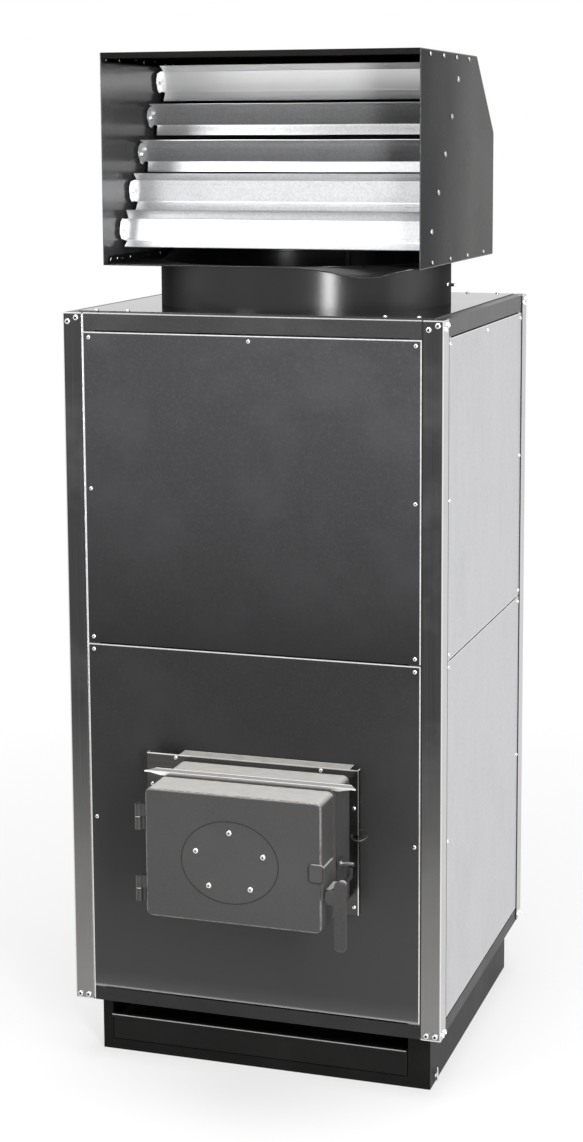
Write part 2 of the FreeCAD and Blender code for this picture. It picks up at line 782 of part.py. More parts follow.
def evenly(span, count):
    """Places spread evenly between two ends, kept off both of them."""
    return [span[0] + (span[1] - span[0]) * ((index + 0.5) / count) for index in range(count)]


bottom_screw_level = head_base_level + head_screw_edge
top_screw_level = head_top_level - head_screw_edge
head_screw_places = [(y, bottom_screw_level) for y in evenly(head_flange_y, 4)]
head_screw_places += [(y, top_screw_level) for y in evenly(top_flange_y, 4)]
pivot_places = [(head_front + first_pivot_back + pivot_pitch_back * step,
                 head_base_level + first_pivot_up + pivot_pitch_up * step) for step in range(5)]

head_screws = []
louvre_pivots = []
head_holes = {-1: [], 1: []}
for side_x, axis in ((-1, "-X"), (1, "+X")):
    inward = "+X" if side_x < 0 else "-X"
    for y, z in head_screw_places:
        head = rod("head_screw_head", (side_x * half_head, y, z), axis, screw_head, screw_rise,
                   screw_head * 0.7)
        shank = rod("head_screw_shank", (side_x * half_head, y, z), inward, screw_shank,
                    head_wall * 2 + screw_rise)
        head_screws.append(join("head_screw", [head, shank]))
        head_holes[side_x].append(rod("head_screw_hole", (side_x * half_head, y, z), inward,
                                      screw_shank + hole_room, head_wall * 3))
    for y, z in pivot_places:
        head = rod("pivot_head", (side_x * half_head, y, z), axis, bolt_head, screw_rise, bolt_head * 0.7)
        shank = rod("pivot_shank", (side_x * half_head, y, z), inward, pivot_radius,
                    head_wall + blade_end_gap + blade_wall * 3)
        louvre_pivots.append(join("pivot", [head, shank]))
        head_holes[side_x].append(rod("pivot_hole", (side_x * half_head, y, z), inward,
                                      pivot_radius + pivot_room, head_wall))
node(group("head_screws", head_screws), "head_screws")
node(group("louvre_pivots", louvre_pivots), "louvre_pivots")

every_head_hole = head_holes[-1] + head_holes[1]
base_sheet = cut("head_base_sheet",
                 block("head_base_blank", (-head_inside, head_inside), (head_front, head_back - head_wall),
                       (head_base_level, head_base_level + head_wall)),
                 rod("head_mouth", (Size.of(0), Size.of(0), head_base_level), "+Z", collar_bore, head_wall))
base_flanges = [block("head_base_flange", flange_x, head_flange_y,
                      (head_base_level, head_base_level + head_fold))
                for flange_x in (head_flange_x, (-head_flange_x[1], -head_flange_x[0]))]
node(cut("head_base", join("head_base_join", [base_sheet] + base_flanges), *every_head_hole), "head_base")

side_outline = [(head_front, head_base_level), (head_back, head_base_level), (head_back, bend_level),
                (top_back, head_top_level), (head_front, head_top_level)]
for side_x, name, start in ((-1, "head_side_left", -half_head), (1, "head_side_right", head_inside)):
    blank = prism(name + "_blank", "YZ_Plane", side_outline, head_wall)
    place(blank, start, 0, 0)
    node(cut(name, blank, *head_holes[side_x]), name)

slope_turn = slope_angle(head_depth - head_top_depth, head_height - head_bend_height)
hood_outline = [(head_front, head_top_level), (top_back, head_top_level), (head_back, bend_level),
                (head_back, head_base_level), (head_back - head_wall, head_base_level),
                (head_back - head_wall, bend_level - head_wall * half_tangent(slope_turn)),
                (top_back - head_wall * half_tangent(90 - slope_turn), head_top_level - head_wall),
                (head_front, head_top_level - head_wall)]
hood_sheet = prism("hood_sheet", "YZ_Plane", hood_outline, head_inside * 2)
place(hood_sheet, -head_inside, 0, 0)
hood_flanges = [block("hood_flange", flange_x, top_flange_y,
                      (head_top_level - head_fold, head_top_level - head_wall))
                for flange_x in (head_flange_x, (-head_flange_x[1], -head_flange_x[0]))]
node(cut("head_hood", join("hood_join", [hood_sheet] + hood_flanges), *every_head_hole), "head_hood")

# Louvre blades: a flat web with two lips bent forward, and an end tab at each side for its pivot
blade_length = (head_inside - blade_end_gap) * 2
lip_forward = blade_lip * sine(blade_lip_turn)
lip_up = blade_lip * cosine(blade_lip_turn)
skin_back = blade_wall * cosine(blade_lip_turn)
skin_up = blade_wall * sine(blade_lip_turn)
bend_cut = blade_wall * half_tangent(blade_lip_turn)
half_web = blade_web / 2
web_y = (pivot_offset, pivot_offset + blade_wall)
lip_end = (pivot_offset - lip_forward, half_web + lip_up)
blade_half = [(pivot_offset, half_web), lip_end, (lip_end[0] + skin_back, lip_end[1] + skin_up),
              (pivot_offset + blade_wall, half_web + bend_cut)]
blade_outline = blade_half + [(y, -z) for y, z in reversed(blade_half)]
half_tab = blade_tab_height / 2
tab_front = pivot_offset - blade_tab_depth
tab_outline = [(pivot_offset, -half_tab), (pivot_offset, half_tab),
               (tab_front + blade_tab_chamfer, half_tab),
               (tab_front, half_tab - blade_tab_chamfer), (tab_front, -half_tab + blade_tab_chamfer),
               (tab_front + blade_tab_chamfer, -half_tab)]
blade_tilts = (blade_tilt_bottom, -blade_tilt_open, -blade_tilt_shut, -blade_tilt_shut, -blade_tilt_top)
for number, ((pivot_y, pivot_z), tilt) in enumerate(zip(pivot_places, blade_tilts), 1):
    name = "louvre_blade_%d" % number
    formed = prism(name + "_formed", "YZ_Plane", blade_outline, blade_length - blade_lip_inset * 2)
    place(formed, blade_lip_inset - blade_length / 2, 0, 0)
    web = block(name + "_web", (-blade_length / 2, blade_length / 2), web_y, (-half_web, half_web))
    tabs = []
    for tab_x in (-blade_length / 2, blade_length / 2 - blade_wall):
        tab = prism(name + "_tab", "YZ_Plane", tab_outline, blade_wall)
        place(tab, tab_x, 0, 0)
        eye = rod(name + "_eye", (tab_x, Size.of(0), Size.of(0)), "+X", pivot_radius + pivot_room,
                  blade_wall)
        tabs.append(cut(name + "_tab_cut", tab, eye))
    blade = join(name, [formed, web] + tabs)
    blade.Placement.Rotation = FreeCAD.Rotation(AXES["-X"], tilt.number)
    bind(blade, Placement__Rotation__Angle=tilt)
    node(place(blade, Size.of(0), pivot_y, pivot_z), name)

# Fire neck: a rounded tube from the drum through the front panel
node(cut("fire_neck",
         rounded_block("neck_skin", neck_span_x, (neck_front, -neck_inside), neck_span_z, neck_corner),
         rounded_block("neck_bore", grown(neck_span_x, -neck_wall), (neck_front, -neck_inside),
                       grown(neck_span_z, -neck_wall), neck_corner - neck_wall)), "fire_neck")

# Flange plate around the neck, held off the panel by its screws
flange_x = (flange_left, flange_right)
fold_y = (flange_front, flange_back + flange_fold)
flange_blank = join("flange_blank", [
    block("flange_sheet", flange_x, (flange_front, flange_back), flange_span_z),
    block("flange_left_fold", (flange_left, flange_left + flange_wall), fold_y, flange_span_z),
    block("flange_right_fold", (flange_right - flange_wall, flange_right), fold_y, flange_span_z),
    block("flange_roof_fold", (neck_left, neck_right), (flange_front, flange_back + flange_roof),
          (flange_span_z[1] - flange_wall, flange_span_z[1])),
])
loop_level = neck_top - loop_drop
loop_hole_x = flange_right - loop_edge
node(cut("neck_flange", flange_blank, neck_hole, *flange_screw_holes,
         rod("loop_hole", (loop_hole_x, flange_front, loop_level), "+Y", loop_wire + loop_hole_room,
             flange_wall)),
     "neck_flange")
flange_screws = []
for x, z in flange_screw_places:
    head = rod("flange_screw_head", (x, flange_front, z), "-Y", flange_screw_head, screw_rise,
               flange_screw_head * 0.7)
    shank = rod("flange_screw_shank", (x, flange_front, z), "+Y", screw_shank,
                flange_wall + flange_standoff + seat_step + screw_rise)
    flange_screws.append(join("flange_screw", [head, shank]))
node(group("flange_screws", flange_screws), "flange_screws")

# Wire loop through the flange's right edge
loop = bind(new("Part::Torus", "flange_loop"), Radius1=loop_radius, Radius2=loop_wire)
loop.Placement.Rotation = FreeCAD.Rotation(AXES["+X"], loop_tilt.number)
bind(loop, Placement__Rotation__Angle=loop_tilt)
node(place(loop, loop_hole_x + loop_radius, (flange_front + flange_back) / 2, loop_level), "flange_loop")

# Visor on the neck's top front edge, wider than the neck and pointed at both ends
visor_x = grown(neck_span_x, visor_overhang)
visor_y = neck_front - visor_front
visor_sheet = prism("visor_sheet", "XY_Plane", [
    (visor_x[0], visor_y), (visor_x[1], visor_y), (visor_x[1] - visor_taper, visor_y + visor_depth),
    (visor_x[0] + visor_taper, visor_y + visor_depth)], visor_wall)
place(visor_sheet, 0, 0, neck_top)
visor_lip_sheet = prism("visor_lip_sheet", "XZ_Plane", [
    (visor_x[0], neck_top + visor_wall), (visor_x[1], neck_top + visor_wall),
    (visor_x[1] - visor_lip_taper, neck_top + visor_wall - visor_lip),
    (visor_x[0] + visor_lip_taper, neck_top + visor_wall - visor_lip)], visor_wall)
place(visor_lip_sheet, 0, visor_y + visor_wall, 0)
node(join("neck_visor", [visor_sheet, visor_lip_sheet]), "neck_visor")

# Fire door: a pressed shell filled with insulation, a liner plate and a gasket behind it
door_x = neck_span_x
door_z = grown(neck_span_z, -door_trim)
gasket_back = neck_front - gasket_room
liner_back = gasket_back - gasket_wall
liner_front = liner_back - liner_wall
door_back = liner_front - liner_gap
door_front = door_back - door_depth
disc_x = neck_offset + disc_shift
disc_z = (neck_bottom + neck_top) / 2 - disc_drop


def oval_plate(name, room, wall):
    """An oval plate lying against the door's front, larger all round by some room."""
    rim = bind(new("Part::Ellipse", name + "_rim"), MajorRadius=disc_half_width + room,
               MinorRadius=disc_half_height + room)
    rim.Placement.Rotation = FreeCAD.Rotation(FreeCAD.Vector(1, 0, 0), 90)
    place(rim, disc_x, door_front + wall, disc_z)
    plate = new("Part::Extrusion", name)
    plate.Base = rim
    plate.DirMode = "Custom"
    plate.Dir = AXES["-Y"]
    plate.Solid = True
    return bind(plate, LengthFwd=wall)


disc_screws = []
disc_screw_holes = []
for number in range(disc_screw_count):
    turn = math.radians(90 - 360 / disc_screw_count * number)
    centre = (disc_x + disc_screw_half_width * round(math.cos(turn), 6), door_front,
              disc_z + disc_screw_half_height * round(math.sin(turn), 6))
    head = rod("disc_screw_head", centre, "-Y", bolt_head, bolt_rise, bolt_head * 0.8)
    shank = rod("disc_screw_shank", centre, "+Y", bolt_shank, door_wall * 3)
    disc_screws.append(join("disc_screw", [head, shank]))
    disc_screw_holes.append(rod("disc_screw_hole", centre, "+Y", bolt_shank + hole_room, door_wall * 4))
node(group("disc_screws", disc_screws), "disc_screws")
node(cut("door_disc", oval_plate("disc_plate", Size.of(0), disc_wall), *disc_screw_holes), "door_disc")
door_hollow_x = grown(door_x, -door_wall)
door_hollow_z = grown(door_z, -door_wall)
door_hollow_corner = neck_corner - door_wall
node(cut("fire_door",
         rounded_front("door_skin", rounded_block("door_body", door_x, (door_front, door_back), door_z,
                                                  neck_corner),
                       door_front, door_edge),
         rounded_block("door_hollow", door_hollow_x, (door_front + door_wall, door_back), door_hollow_z,
                       door_hollow_corner),
         oval_plate("disc_recess", disc_room, disc_wall), *disc_screw_holes), "fire_door")
node(cut("door_insulation",
         rounded_block("insulation_blank", grown(door_hollow_x, -fit),
                       (door_front + door_wall, liner_front),
                       grown(door_hollow_z, -fit), door_hollow_corner),
         *disc_screw_holes), "door_insulation")
node(rounded_block("door_liner", door_x, (liner_front, liner_back), door_z, neck_corner), "door_liner")
gasket_x = grown(door_x, -gasket_inset)
gasket_z = grown(door_z, -gasket_inset)
node(cut("door_gasket",
         rounded_block("gasket_blank", gasket_x, (liner_back, gasket_back), gasket_z, neck_corner),
         rounded_block("gasket_hole", grown(gasket_x, -gasket_width), (liner_back, gasket_back),
                       grown(gasket_z, -gasket_width), neck_corner)), "door_gasket")

# Hinges: knuckles on the door over knuckles on arms from the neck, with a pin through each pair
hinge_x = neck_left - hinge_out
hinge_y = door_front + hinge_back
door_knuckles = []
neck_arms = []
hinge_pins = []
for lift in (hinge_low, hinge_high):
    level = neck_bottom + lift
    upper = (level + knuckle_gap / 2, level + knuckle_gap / 2 + knuckle_height)
    lower = (level - knuckle_gap / 2 - knuckle_height, level - knuckle_gap / 2)
    bore = rod("hinge_bore", (hinge_x, hinge_y, lower[0]), "+Z", pin_radius + pin_room, upper[1] - lower[0])
    leaf = join("door_leaf", [
        rod("door_knuckle", (hinge_x, hinge_y, upper[0]), "+Z", knuckle_radius, knuckle_height),
        block("door_leaf_plate", (hinge_x, neck_left), (hinge_y - arm_wall / 2, hinge_y + arm_wall / 2),
              upper),
    ])
    door_knuckles.append(cut("door_leaf_bored", leaf, bore))
    arm_x = (neck_left - arm_room - arm_wall, neck_left - arm_room)
    arm = join("neck_arm", [
        rod("neck_knuckle", (hinge_x, hinge_y, lower[0]), "+Z", knuckle_radius, knuckle_height),
        block("neck_arm_bar", arm_x, (hinge_y, flange_front), lower),
        block("neck_arm_pad", (arm_x[1], neck_left), (neck_front + arm_wall, flange_front), lower),
    ])
    neck_arms.append(cut("neck_arm_bored", arm, bore))
    hinge_pins.append(join("hinge_pin", [
        rod("pin_shank", (hinge_x, hinge_y, lower[0]), "+Z", pin_radius, upper[1] - lower[0]),
        rod("pin_washer", (hinge_x, hinge_y, level - washer_wall / 2), "+Z", washer_radius, washer_wall),
    ]))
node(group("door_hinge_knuckles", door_knuckles), "door_hinge_knuckles")
node(group("neck_hinge_arms", neck_arms), "neck_hinge_arms")
node(group("hinge_pins", hinge_pins), "hinge_pins")

# Latch: a bracket on the door carries the handle's shaft, whose finger turns under the neck's keeper
latch_x = neck_right + latch_out
latch_z = neck_bottom + latch_rise
latch_bore = latch_shaft + pin_room
tube_y = (door_front + latch_tube_front, door_front + latch_tube_front + latch_tube_length)
plate_x = (neck_right + latch_plate_wall - latch_plate_width, neck_right + latch_plate_wall)
plate_z = (latch_z + latch_plate_lift, latch_z + latch_plate_lift + latch_plate_height)
shaft_room = rod("latch_shaft_room", (latch_x, tube_y[0], latch_z), "+Y", latch_bore, latch_tube_length)
bracket_blank = join("bracket_blank", [
    rounded_block("bracket_plate", plate_x, (door_front - latch_plate_wall, door_front), plate_z,
                  handle_corner),
    block("bracket_cheek", (neck_right, neck_right + latch_plate_wall),
          (door_front - latch_plate_wall, tube_y[1]),
          (latch_z - latch_shaft - latch_tube_wall, plate_z[1] - handle_corner)),
    block("bracket_web", (neck_right, latch_x), tube_y,
          (latch_z - latch_shaft, latch_z + latch_shaft)),
    rod("bracket_tube", (latch_x, tube_y[0], latch_z), "+Y", latch_shaft + latch_tube_wall,
        latch_tube_length),
])
node(cut("latch_bracket", bracket_blank, shaft_room), "latch_bracket")

handle_y = (door_front - latch_plate_wall - handle_gap - handle_wall,
            door_front - latch_plate_wall - handle_gap)
finger_y = (neck_front + handle_corner, neck_front + handle_corner + finger_wall)
shank_x = (latch_x + handle_head_right - handle_shank_width, latch_x + handle_head_right)
node(join("latch_handle", [
    rounded_block("handle_head", (latch_x - handle_head_left, latch_x + handle_head_right), handle_y,
                  (latch_z - handle_head_bottom, latch_z + handle_head_top), handle_corner),
    rounded_block("handle_shank", shank_x, handle_y, (latch_z - handle_length, latch_z + handle_top),
                  handle_corner),
    rod("handle_shaft", (latch_x, handle_y[0], latch_z), "+Y", latch_shaft, finger_y[1] - handle_y[0]),
    block("handle_finger", (latch_x - finger_half_width, latch_x + finger_half_width), finger_y,
          (latch_z, latch_z + finger_length)),
]), "latch_handle")
keeper_z = latch_z + finger_length + keeper_room + keeper_rod
keeper_y = (finger_y[0] + finger_y[1]) / 2
node(join("latch_keeper", [
    block("keeper_block_piece", (neck_right, neck_right + keeper_block),
          (keeper_y - keeper_depth / 2, keeper_y + keeper_depth / 2),
          (keeper_z - keeper_rod * 1.5, keeper_z + keeper_rod * 2)),
    rod("keeper_rod_piece", (neck_right, keeper_y, keeper_z), "+X", keeper_rod, latch_out + keeper_rod * 2),
]), "latch_keeper")

# Firebox drum on four legs, with its lid, brick lining and grate
drum_axis = (Size.of(0), chamber_y)
lid_level = chamber_top - chamber_wall
node(rod("chamber_lid", (*drum_axis, lid_level), "+Z", chamber_radius, chamber_wall), "chamber_lid")
drum = cut("drum", rod("drum_skin", (*drum_axis, chamber_base), "+Z", chamber_radius,
                       lid_level - chamber_base),
           rod("drum_hollow", (*drum_axis, chamber_base + chamber_wall), "+Z",
               chamber_radius - chamber_wall,
               chamber_height - chamber_wall),
           rod("drum_ash_mouth", (*drum_axis, chamber_base), "+Z", chamber_mouth, chamber_wall))
leg_reach = (chamber_radius + chamber_mouth) / 2 * math.sqrt(0.5)
legs = [block("drum_leg", (side_x * leg_reach - chamber_leg_width / 2,
                           side_x * leg_reach + chamber_leg_width / 2),
              (chamber_y + side_y * leg_reach - chamber_leg_width / 2,
               chamber_y + side_y * leg_reach + chamber_leg_width / 2),
              (base_floor + base_wall, chamber_base))
        for side_x in (-1, 1) for side_y in (-1, 1)]
node(cut("combustion_chamber", join("drum_on_legs", [drum] + legs), neck_hole,
         rod("drum_flue_hole", flue_start, "+Y", flue_radius - flue_step + fit,
             flue_length)), "combustion_chamber")
lining_base = chamber_base + chamber_wall
lining_radius = chamber_radius - chamber_wall - fit
node(tube("firebrick_lining", (*drum_axis, lining_base), "+Z", lining_radius, lining_wall, lining_height),
     "firebrick_lining")
grate_level = lining_base + lining_height
grate_reach = lining_radius - lining_wall
grate_slot_blocks = []
for index in range(grate_slots):
    centre = grate_pitch * (index - (grate_slots - 1) / 2)
    reach = grate_reach * math.sqrt(1 - ((index - (grate_slots - 1) / 2) / (grate_slots / 2 + 1)) ** 2)
    grate_slot_blocks.append(block("grate_slot_cut", (centre - grate_slot / 2, centre + grate_slot / 2),
                                   (chamber_y - reach + grate_slot, chamber_y + reach - grate_slot),
                                   (grate_level, grate_level + grate_wall)))
node(cut("grate", rod("grate_blank", (*drum_axis, grate_level), "+Z", lining_radius, grate_wall),
         *grate_slot_blocks), "grate")
flue_skin = join("flue_skin", [
    rod("flue_pipe", flue_start, "+Y", flue_radius - flue_step, flue_length),
    rod("flue_rose", (Size.of(0), rear_face, flue_level), "+Y", flue_radius + flue_rose, flue_rose_wall),
    rod("flue_spigot", (Size.of(0), rear_face + flue_rose_wall, flue_level), "+Y", flue_radius,
        flue_stub - flue_rose_wall),
])
node(cut("flue_outlet", flue_skin,
         rod("flue_bore", flue_start, "+Y", flue_radius - flue_step - flue_wall,
             flue_length)), "flue_outlet")

# Fan at the rear: a ring on the panel, a wire guard that carries the motor, and an impeller
fan_ring_start = half_depth - seat_step - fan_ring_depth
node(tube("fan_ring", (Size.of(0), fan_ring_start, fan_level), "+Y", fan_radius, fan_ring_wall,
          fan_ring_depth),
     "fan_ring")
guard_y = rear_face + guard_wire
guard_pieces = [rod("guard_centre", (Size.of(0), rear_face, fan_level), "+Y", guard_plate,
                    guard_plate_wall)]
for index in range(1, guard_rings + 1):
    ring = bind(new("Part::Torus", "guard_ring"),
                Radius1=guard_plate + (fan_radius + guard_wire * 2 - guard_plate) * (index / guard_rings),
                Radius2=guard_wire)
    ring.Placement.Rotation = FreeCAD.Rotation(FreeCAD.Vector(0, 0, 1), AXES["+Y"])
    guard_pieces.append(place(ring, 0, guard_y, fan_level))
for index in range(guard_spokes):
    spoke = bind(new("Part::Cylinder", "guard_spoke"), Radius=guard_wire * 0.8,
                 Height=fan_radius + guard_wire * 2)
    turn = FreeCAD.Rotation(AXES["+Y"], 360 / guard_spokes * index)
    spoke.Placement.Rotation = turn
    guard_pieces.append(place(spoke, 0, guard_y, fan_level))
node(join("fan_guard", guard_pieces), "fan_guard")
node(join("fan_motor", [
    rod("motor_can", (Size.of(0), rear_face, fan_level), "-Y", motor_radius, motor_length),
    rod("motor_spindle", (Size.of(0), rear_face - motor_length, fan_level), "-Y", motor_shaft,
        motor_shaft_length),
]), "fan_motor")
hub_y = rear_face - motor_length - hub_gap - hub_length
hub_middle = hub_y + hub_length / 2
blade_reach = fan_radius - fan_ring_wall - fan_tip_room
impeller_pieces = [rod("impeller_hub", (Size.of(0), hub_y, fan_level), "+Y", hub_radius, hub_length)]
for index in range(fan_blades):
    vane = bind(new("Part::Box", "impeller_vane"), Length=fan_blade_width, Width=fan_blade_wall,
                Height=blade_reach - hub_radius / 2)
    vane.Placement.Base = FreeCAD.Vector(-fan_blade_width.number / 2, 0, hub_radius.number / 2)
    bind(vane, Placement__Base__x=-fan_blade_width / 2, Placement__Base__z=hub_radius / 2)
    pitched = new("Part::Compound", "pitched_vane")
    pitched.Links = [vane]
    pitched.Placement.Rotation = FreeCAD.Rotation(AXES["+Z"], fan_blade_pitch.number)
    bind(pitched, Placement__Rotation__Angle=fan_blade_pitch)
    turned = new("Part::Compound", "turned_vane")
    turned.Links = [pitched]
    turned.Placement.Rotation = FreeCAD.Rotation(AXES["+Y"], 360 / fan_blades * index)
    impeller_pieces.append(place(turned, 0, hub_middle, fan_level))
node(cut("fan_impeller", join("impeller_blank", impeller_pieces),
         rod("impeller_bore", (Size.of(0), hub_y, fan_level), "+Y", motor_shaft + hub_room, hub_length)),
     "fan_impeller")

doc.recompute()


def check_built():
    """Stop if any object failed or any sub-part is empty or unsound."""
    for thing in doc.Objects:
        if "Invalid" in thing.State or "Error" in thing.State:
            raise RuntimeError("%s did not build: %s" % (thing.Name, thing.State))
    for thing in nodes:
        if thing.Shape.isNull() or not thing.Shape.isValid():
            raise RuntimeError("%s has no sound shape" % thing.Label)
        print("%-26s solids %3d  volume %12.1f" % (thing.Label, len(thing.Shape.Solids),
                                                   thing.Shape.Volume))


check_built()
os.makedirs("parts", exist_ok=True)
for thing in nodes:
    thing.Shape.exportStep(os.path.join("parts", thing.Label + ".step"))
print("wrote %d sub-parts" % len(nodes))
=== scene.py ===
import logging
import math
from dataclasses import dataclass
from enum import Enum
from typing import Sequence

import bmesh
import bpy
import numpy as np
from mathutils import Matrix, Vector


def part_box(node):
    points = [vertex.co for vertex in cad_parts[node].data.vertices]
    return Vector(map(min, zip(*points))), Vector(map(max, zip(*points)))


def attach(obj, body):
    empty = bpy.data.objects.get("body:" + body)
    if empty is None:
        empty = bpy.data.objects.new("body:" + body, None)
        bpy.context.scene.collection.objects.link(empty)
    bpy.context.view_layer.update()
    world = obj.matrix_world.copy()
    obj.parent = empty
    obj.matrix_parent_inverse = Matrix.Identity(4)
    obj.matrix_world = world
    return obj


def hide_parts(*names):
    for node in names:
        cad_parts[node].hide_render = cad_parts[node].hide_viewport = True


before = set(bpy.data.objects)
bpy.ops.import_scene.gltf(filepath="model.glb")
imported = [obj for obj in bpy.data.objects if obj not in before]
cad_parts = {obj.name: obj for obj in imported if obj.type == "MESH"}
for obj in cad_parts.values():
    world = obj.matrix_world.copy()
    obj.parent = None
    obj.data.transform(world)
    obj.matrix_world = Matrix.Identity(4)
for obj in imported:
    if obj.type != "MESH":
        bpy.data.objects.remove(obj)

# Looks of the wood-fired air heater: finishes for its sheet metal, and the small forms its solids leave out.
# Lengths are in metres. The floor is z = 0, the fire door faces -Y and +X is to the right.

LOG = logging.getLogger("air_heater")
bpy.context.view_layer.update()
Array = np.ndarray
Socket = bpy.types.NodeSocket
Colour = tuple[float, float, float]
Place = tuple[float, float, float]
Span = tuple[float, float]

TO_RIGHT, FORWARD, UPWARD = (1.0, 0.0, 0.0), (0.0, -1.0, 0.0), (0.0, 0.0, 1.0)
WHOLE = (0.0, 1.0)
MERGE_DISTANCE = 1e-6
SHEET_BEVEL = 0.0002
# A direction this much upright needs another helper than the upright one.
STEEP = 0.9

# The axes of a plate that stands facing sideways, and of one that stands facing the front.
BACK_AND_UP = np.array([(0.0, 1.0, 0.0), (0.0, 0.0, 1.0), (1.0, 0.0, 0.0)])
ACROSS_AND_UP = np.array([(1.0, 0.0, 0.0), (0.0, 0.0, 1.0), (0.0, 1.0, 0.0)])

# The golden angle, by which each screw of a group is turned further than the one before.
GOLDEN_TURN = math.pi * (3 - math.sqrt(5))

# A screw's head, the recess in it and the dark lens in that, which paints the recess's shade, as shares of
# the head's radius and rise.
HEAD_PROFILE = ((0.98, 0.0), (1.0, 0.2), (0.96, 0.5), (0.84, 0.8), (0.66, 0.97))
RECESS_RIM, RECESS_FLOOR = 0.52, 0.42
RECESS_DEPTH, FLAT_DEPTH = 0.6, 0.02
CROSS_WAIST = 0.45
RECESS_SHADE_PROFILE = ((0.0, 0.50), (0.36, 0.49), (0.36, 0.41), (0.0, 0.40))


class Drive(Enum):
    """The shape of a screw's head."""

    CROSS = "round head with a cross recess"
    SOCKET = "round head with a six-sided recess"
    SPANNER = "six-sided head"


class Edges(Enum):
    """The edges of a piece that are bare or worn and carry a painted highlight, as how far its box opens to
    the left, right and below.
    """

    ALL = (0.0, 0.0, 0.0)
    TOP_AND_RIGHT = (1.0, 0.0, 1.0)
    TOP = (1.0, 1.0, 1.0)


class Streak(Enum):
    """The way that marks run on bare metal, as noise lumps to the metre on each axis."""

    UPRIGHT = (420.0, 420.0, 3.0)
    ACROSS = (5.0, 380.0, 380.0)
    EVEN = (260.0, 260.0, 260.0)
    SOFT_UPRIGHT = (70.0, 70.0, 7.0)


@dataclass(frozen=True)
class Skin:
    """A surface as points and four-cornered faces.

    Args:
        points: An array of n by 3 coordinates.
        faces: An array of m by 4 point numbers.
    """

    points: Array
    faces: Array

    @staticmethod
    def grid(points: Array, around: bool = False, along: bool = False) -> "Skin":
        """Make a surface of a grid of points.

        Args:
            points: An array of rows by columns by 3 coordinates.
            around: Whether the last column meets the first.
            along: Whether the last row meets the first.

        Returns:
            The surface.
        """
        rows, columns = points.shape[:2]
        index = np.arange(rows * columns).reshape(rows, columns)
        if around:
            index = np.concatenate([index, index[:, :1]], axis=1)
        if along:
            index = np.concatenate([index, index[:1]], axis=0)
        corners = [index[:-1, :-1], index[:-1, 1:], index[1:, 1:], index[1:, :-1]]
        return Skin(points.reshape(-1, 3), np.stack(corners, axis=-1).reshape(-1, 4))

    @staticmethod
    def joined(skins: Sequence["Skin"]) -> "Skin":
        """Lay several surfaces together as one.

        Args:
            skins: The surfaces.

        Returns:
            One surface with all their faces.
        """
        starts = np.cumsum([0] + [len(skin.points) for skin in skins[:-1]])
        faces = [skin.faces + start for skin, start in zip(skins, starts)]
        return Skin(np.concatenate([skin.points for skin in skins]), np.concatenate(faces))

    def placed(self, axes: Array, origin: Sequence[float]) -> "Skin":
        """Carry the surface into a frame whose axes are the array's rows, at an origin."""
        return Skin(self.points @ axes + np.asarray(origin), self.faces)


def basis(normal: Sequence[float]) -> Array:
    """Work out a square frame whose third axis is a direction.

    Args:
        normal: The direction of the third axis.

    Returns:
        A 3 by 3 array whose rows are the frame's axes.
    """
    third = np.asarray(normal, float) / np.linalg.norm(normal)
    helper = UPWARD if abs(third[2]) < STEEP else (0.0, 1.0, 0.0)
    first = np.cross(helper, third)
    first /= np.linalg.norm(first)
    return np.stack([first, np.cross(third, first), third])


def eased(value: Array, low: float, high: float) -> Array:
    """Run smoothly from 0 at one value to 1 at another, by three squares less two cubes."""
    share = np.clip((value - low) / (high - low), 0.0, 1.0)
    return share * share * (3 - 2 * share)


def turns(steps: int) -> Array:
    """Divide a full turn into even steps."""
    return np.linspace(0, 2 * math.pi, steps, endpoint=False)


def circle(steps: int) -> Array:
    """Go round a circle of radius 1, by the cosine and sine of even steps of a turn."""
    return np.stack([np.cos(turns(steps)), np.sin(turns(steps))], axis=1)


def turned(radius: Array, height: Array, angle: Array) -> Array:
    """Turn a profile about the third axis: the radius times the angle's cosine and sine, and the height."""
    radius, height, angle = np.broadcast_arrays(radius, height, angle)
    return np.stack([radius * np.cos(angle), radius * np.sin(angle), height], axis=-1)


def slab(outline: Array, thickness: float, bevel: float) -> Skin:
    """Make a flat plate with softened edges.

    Its rows are rings of the outline, from the middle of one face, over the edge, to the middle of the other;
    the ring on each face is the outline drawn in towards its middle by the bevel.

    Args:
        outline: An array of n by 2 points round the plate.
        thickness: How thick it is, along the third axis.
        bevel: How far each edge is softened.

    Returns:
        The plate's closed surface.
    """
    middle = outline.mean(axis=0)
    spoke = outline - middle
    inner = middle + spoke * (1 - bevel / np.linalg.norm(spoke, axis=1, keepdims=True))
    core = np.broadcast_to(middle, outline.shape)
    rings = [(core, 0.0), (inner, 0.0), (outline, bevel), (outline, thickness - bevel), (inner, thickness),
             (core, thickness)]
    points = [np.concatenate([ring, np.full((len(ring), 1), level)], axis=1) for ring, level in rings]
    return Skin.grid(np.stack(points), around=True)


def rounded_outline(across: Span, up: Span, corner: float, arc_steps: int = 7) -> Array:
    """Go round a rectangle whose corners are quarter circles.

    Args:
        across: Its first axis' ends.
        up: Its second axis' ends.
        corner: The corners' radius.
        arc_steps: Points to a corner.

    Returns:
        An array of n by 2 points, anticlockwise.
    """
    turn = np.linspace(0, math.pi / 2, arc_steps)
    centres = [(across[1], up[1]), (across[0], up[1]), (across[0], up[0]), (across[1], up[0])]
    inward = [(-1, -1), (1, -1), (1, 1), (-1, 1)]
    arcs = [np.stack([x + sx * corner + corner * np.cos(turn + quarter * math.pi / 2),
                      y + sy * corner + corner * np.sin(turn + quarter * math.pi / 2)], axis=1)
            for quarter, ((x, y), (sx, sy)) in enumerate(zip(centres, inward))]
    return np.concatenate(arcs)


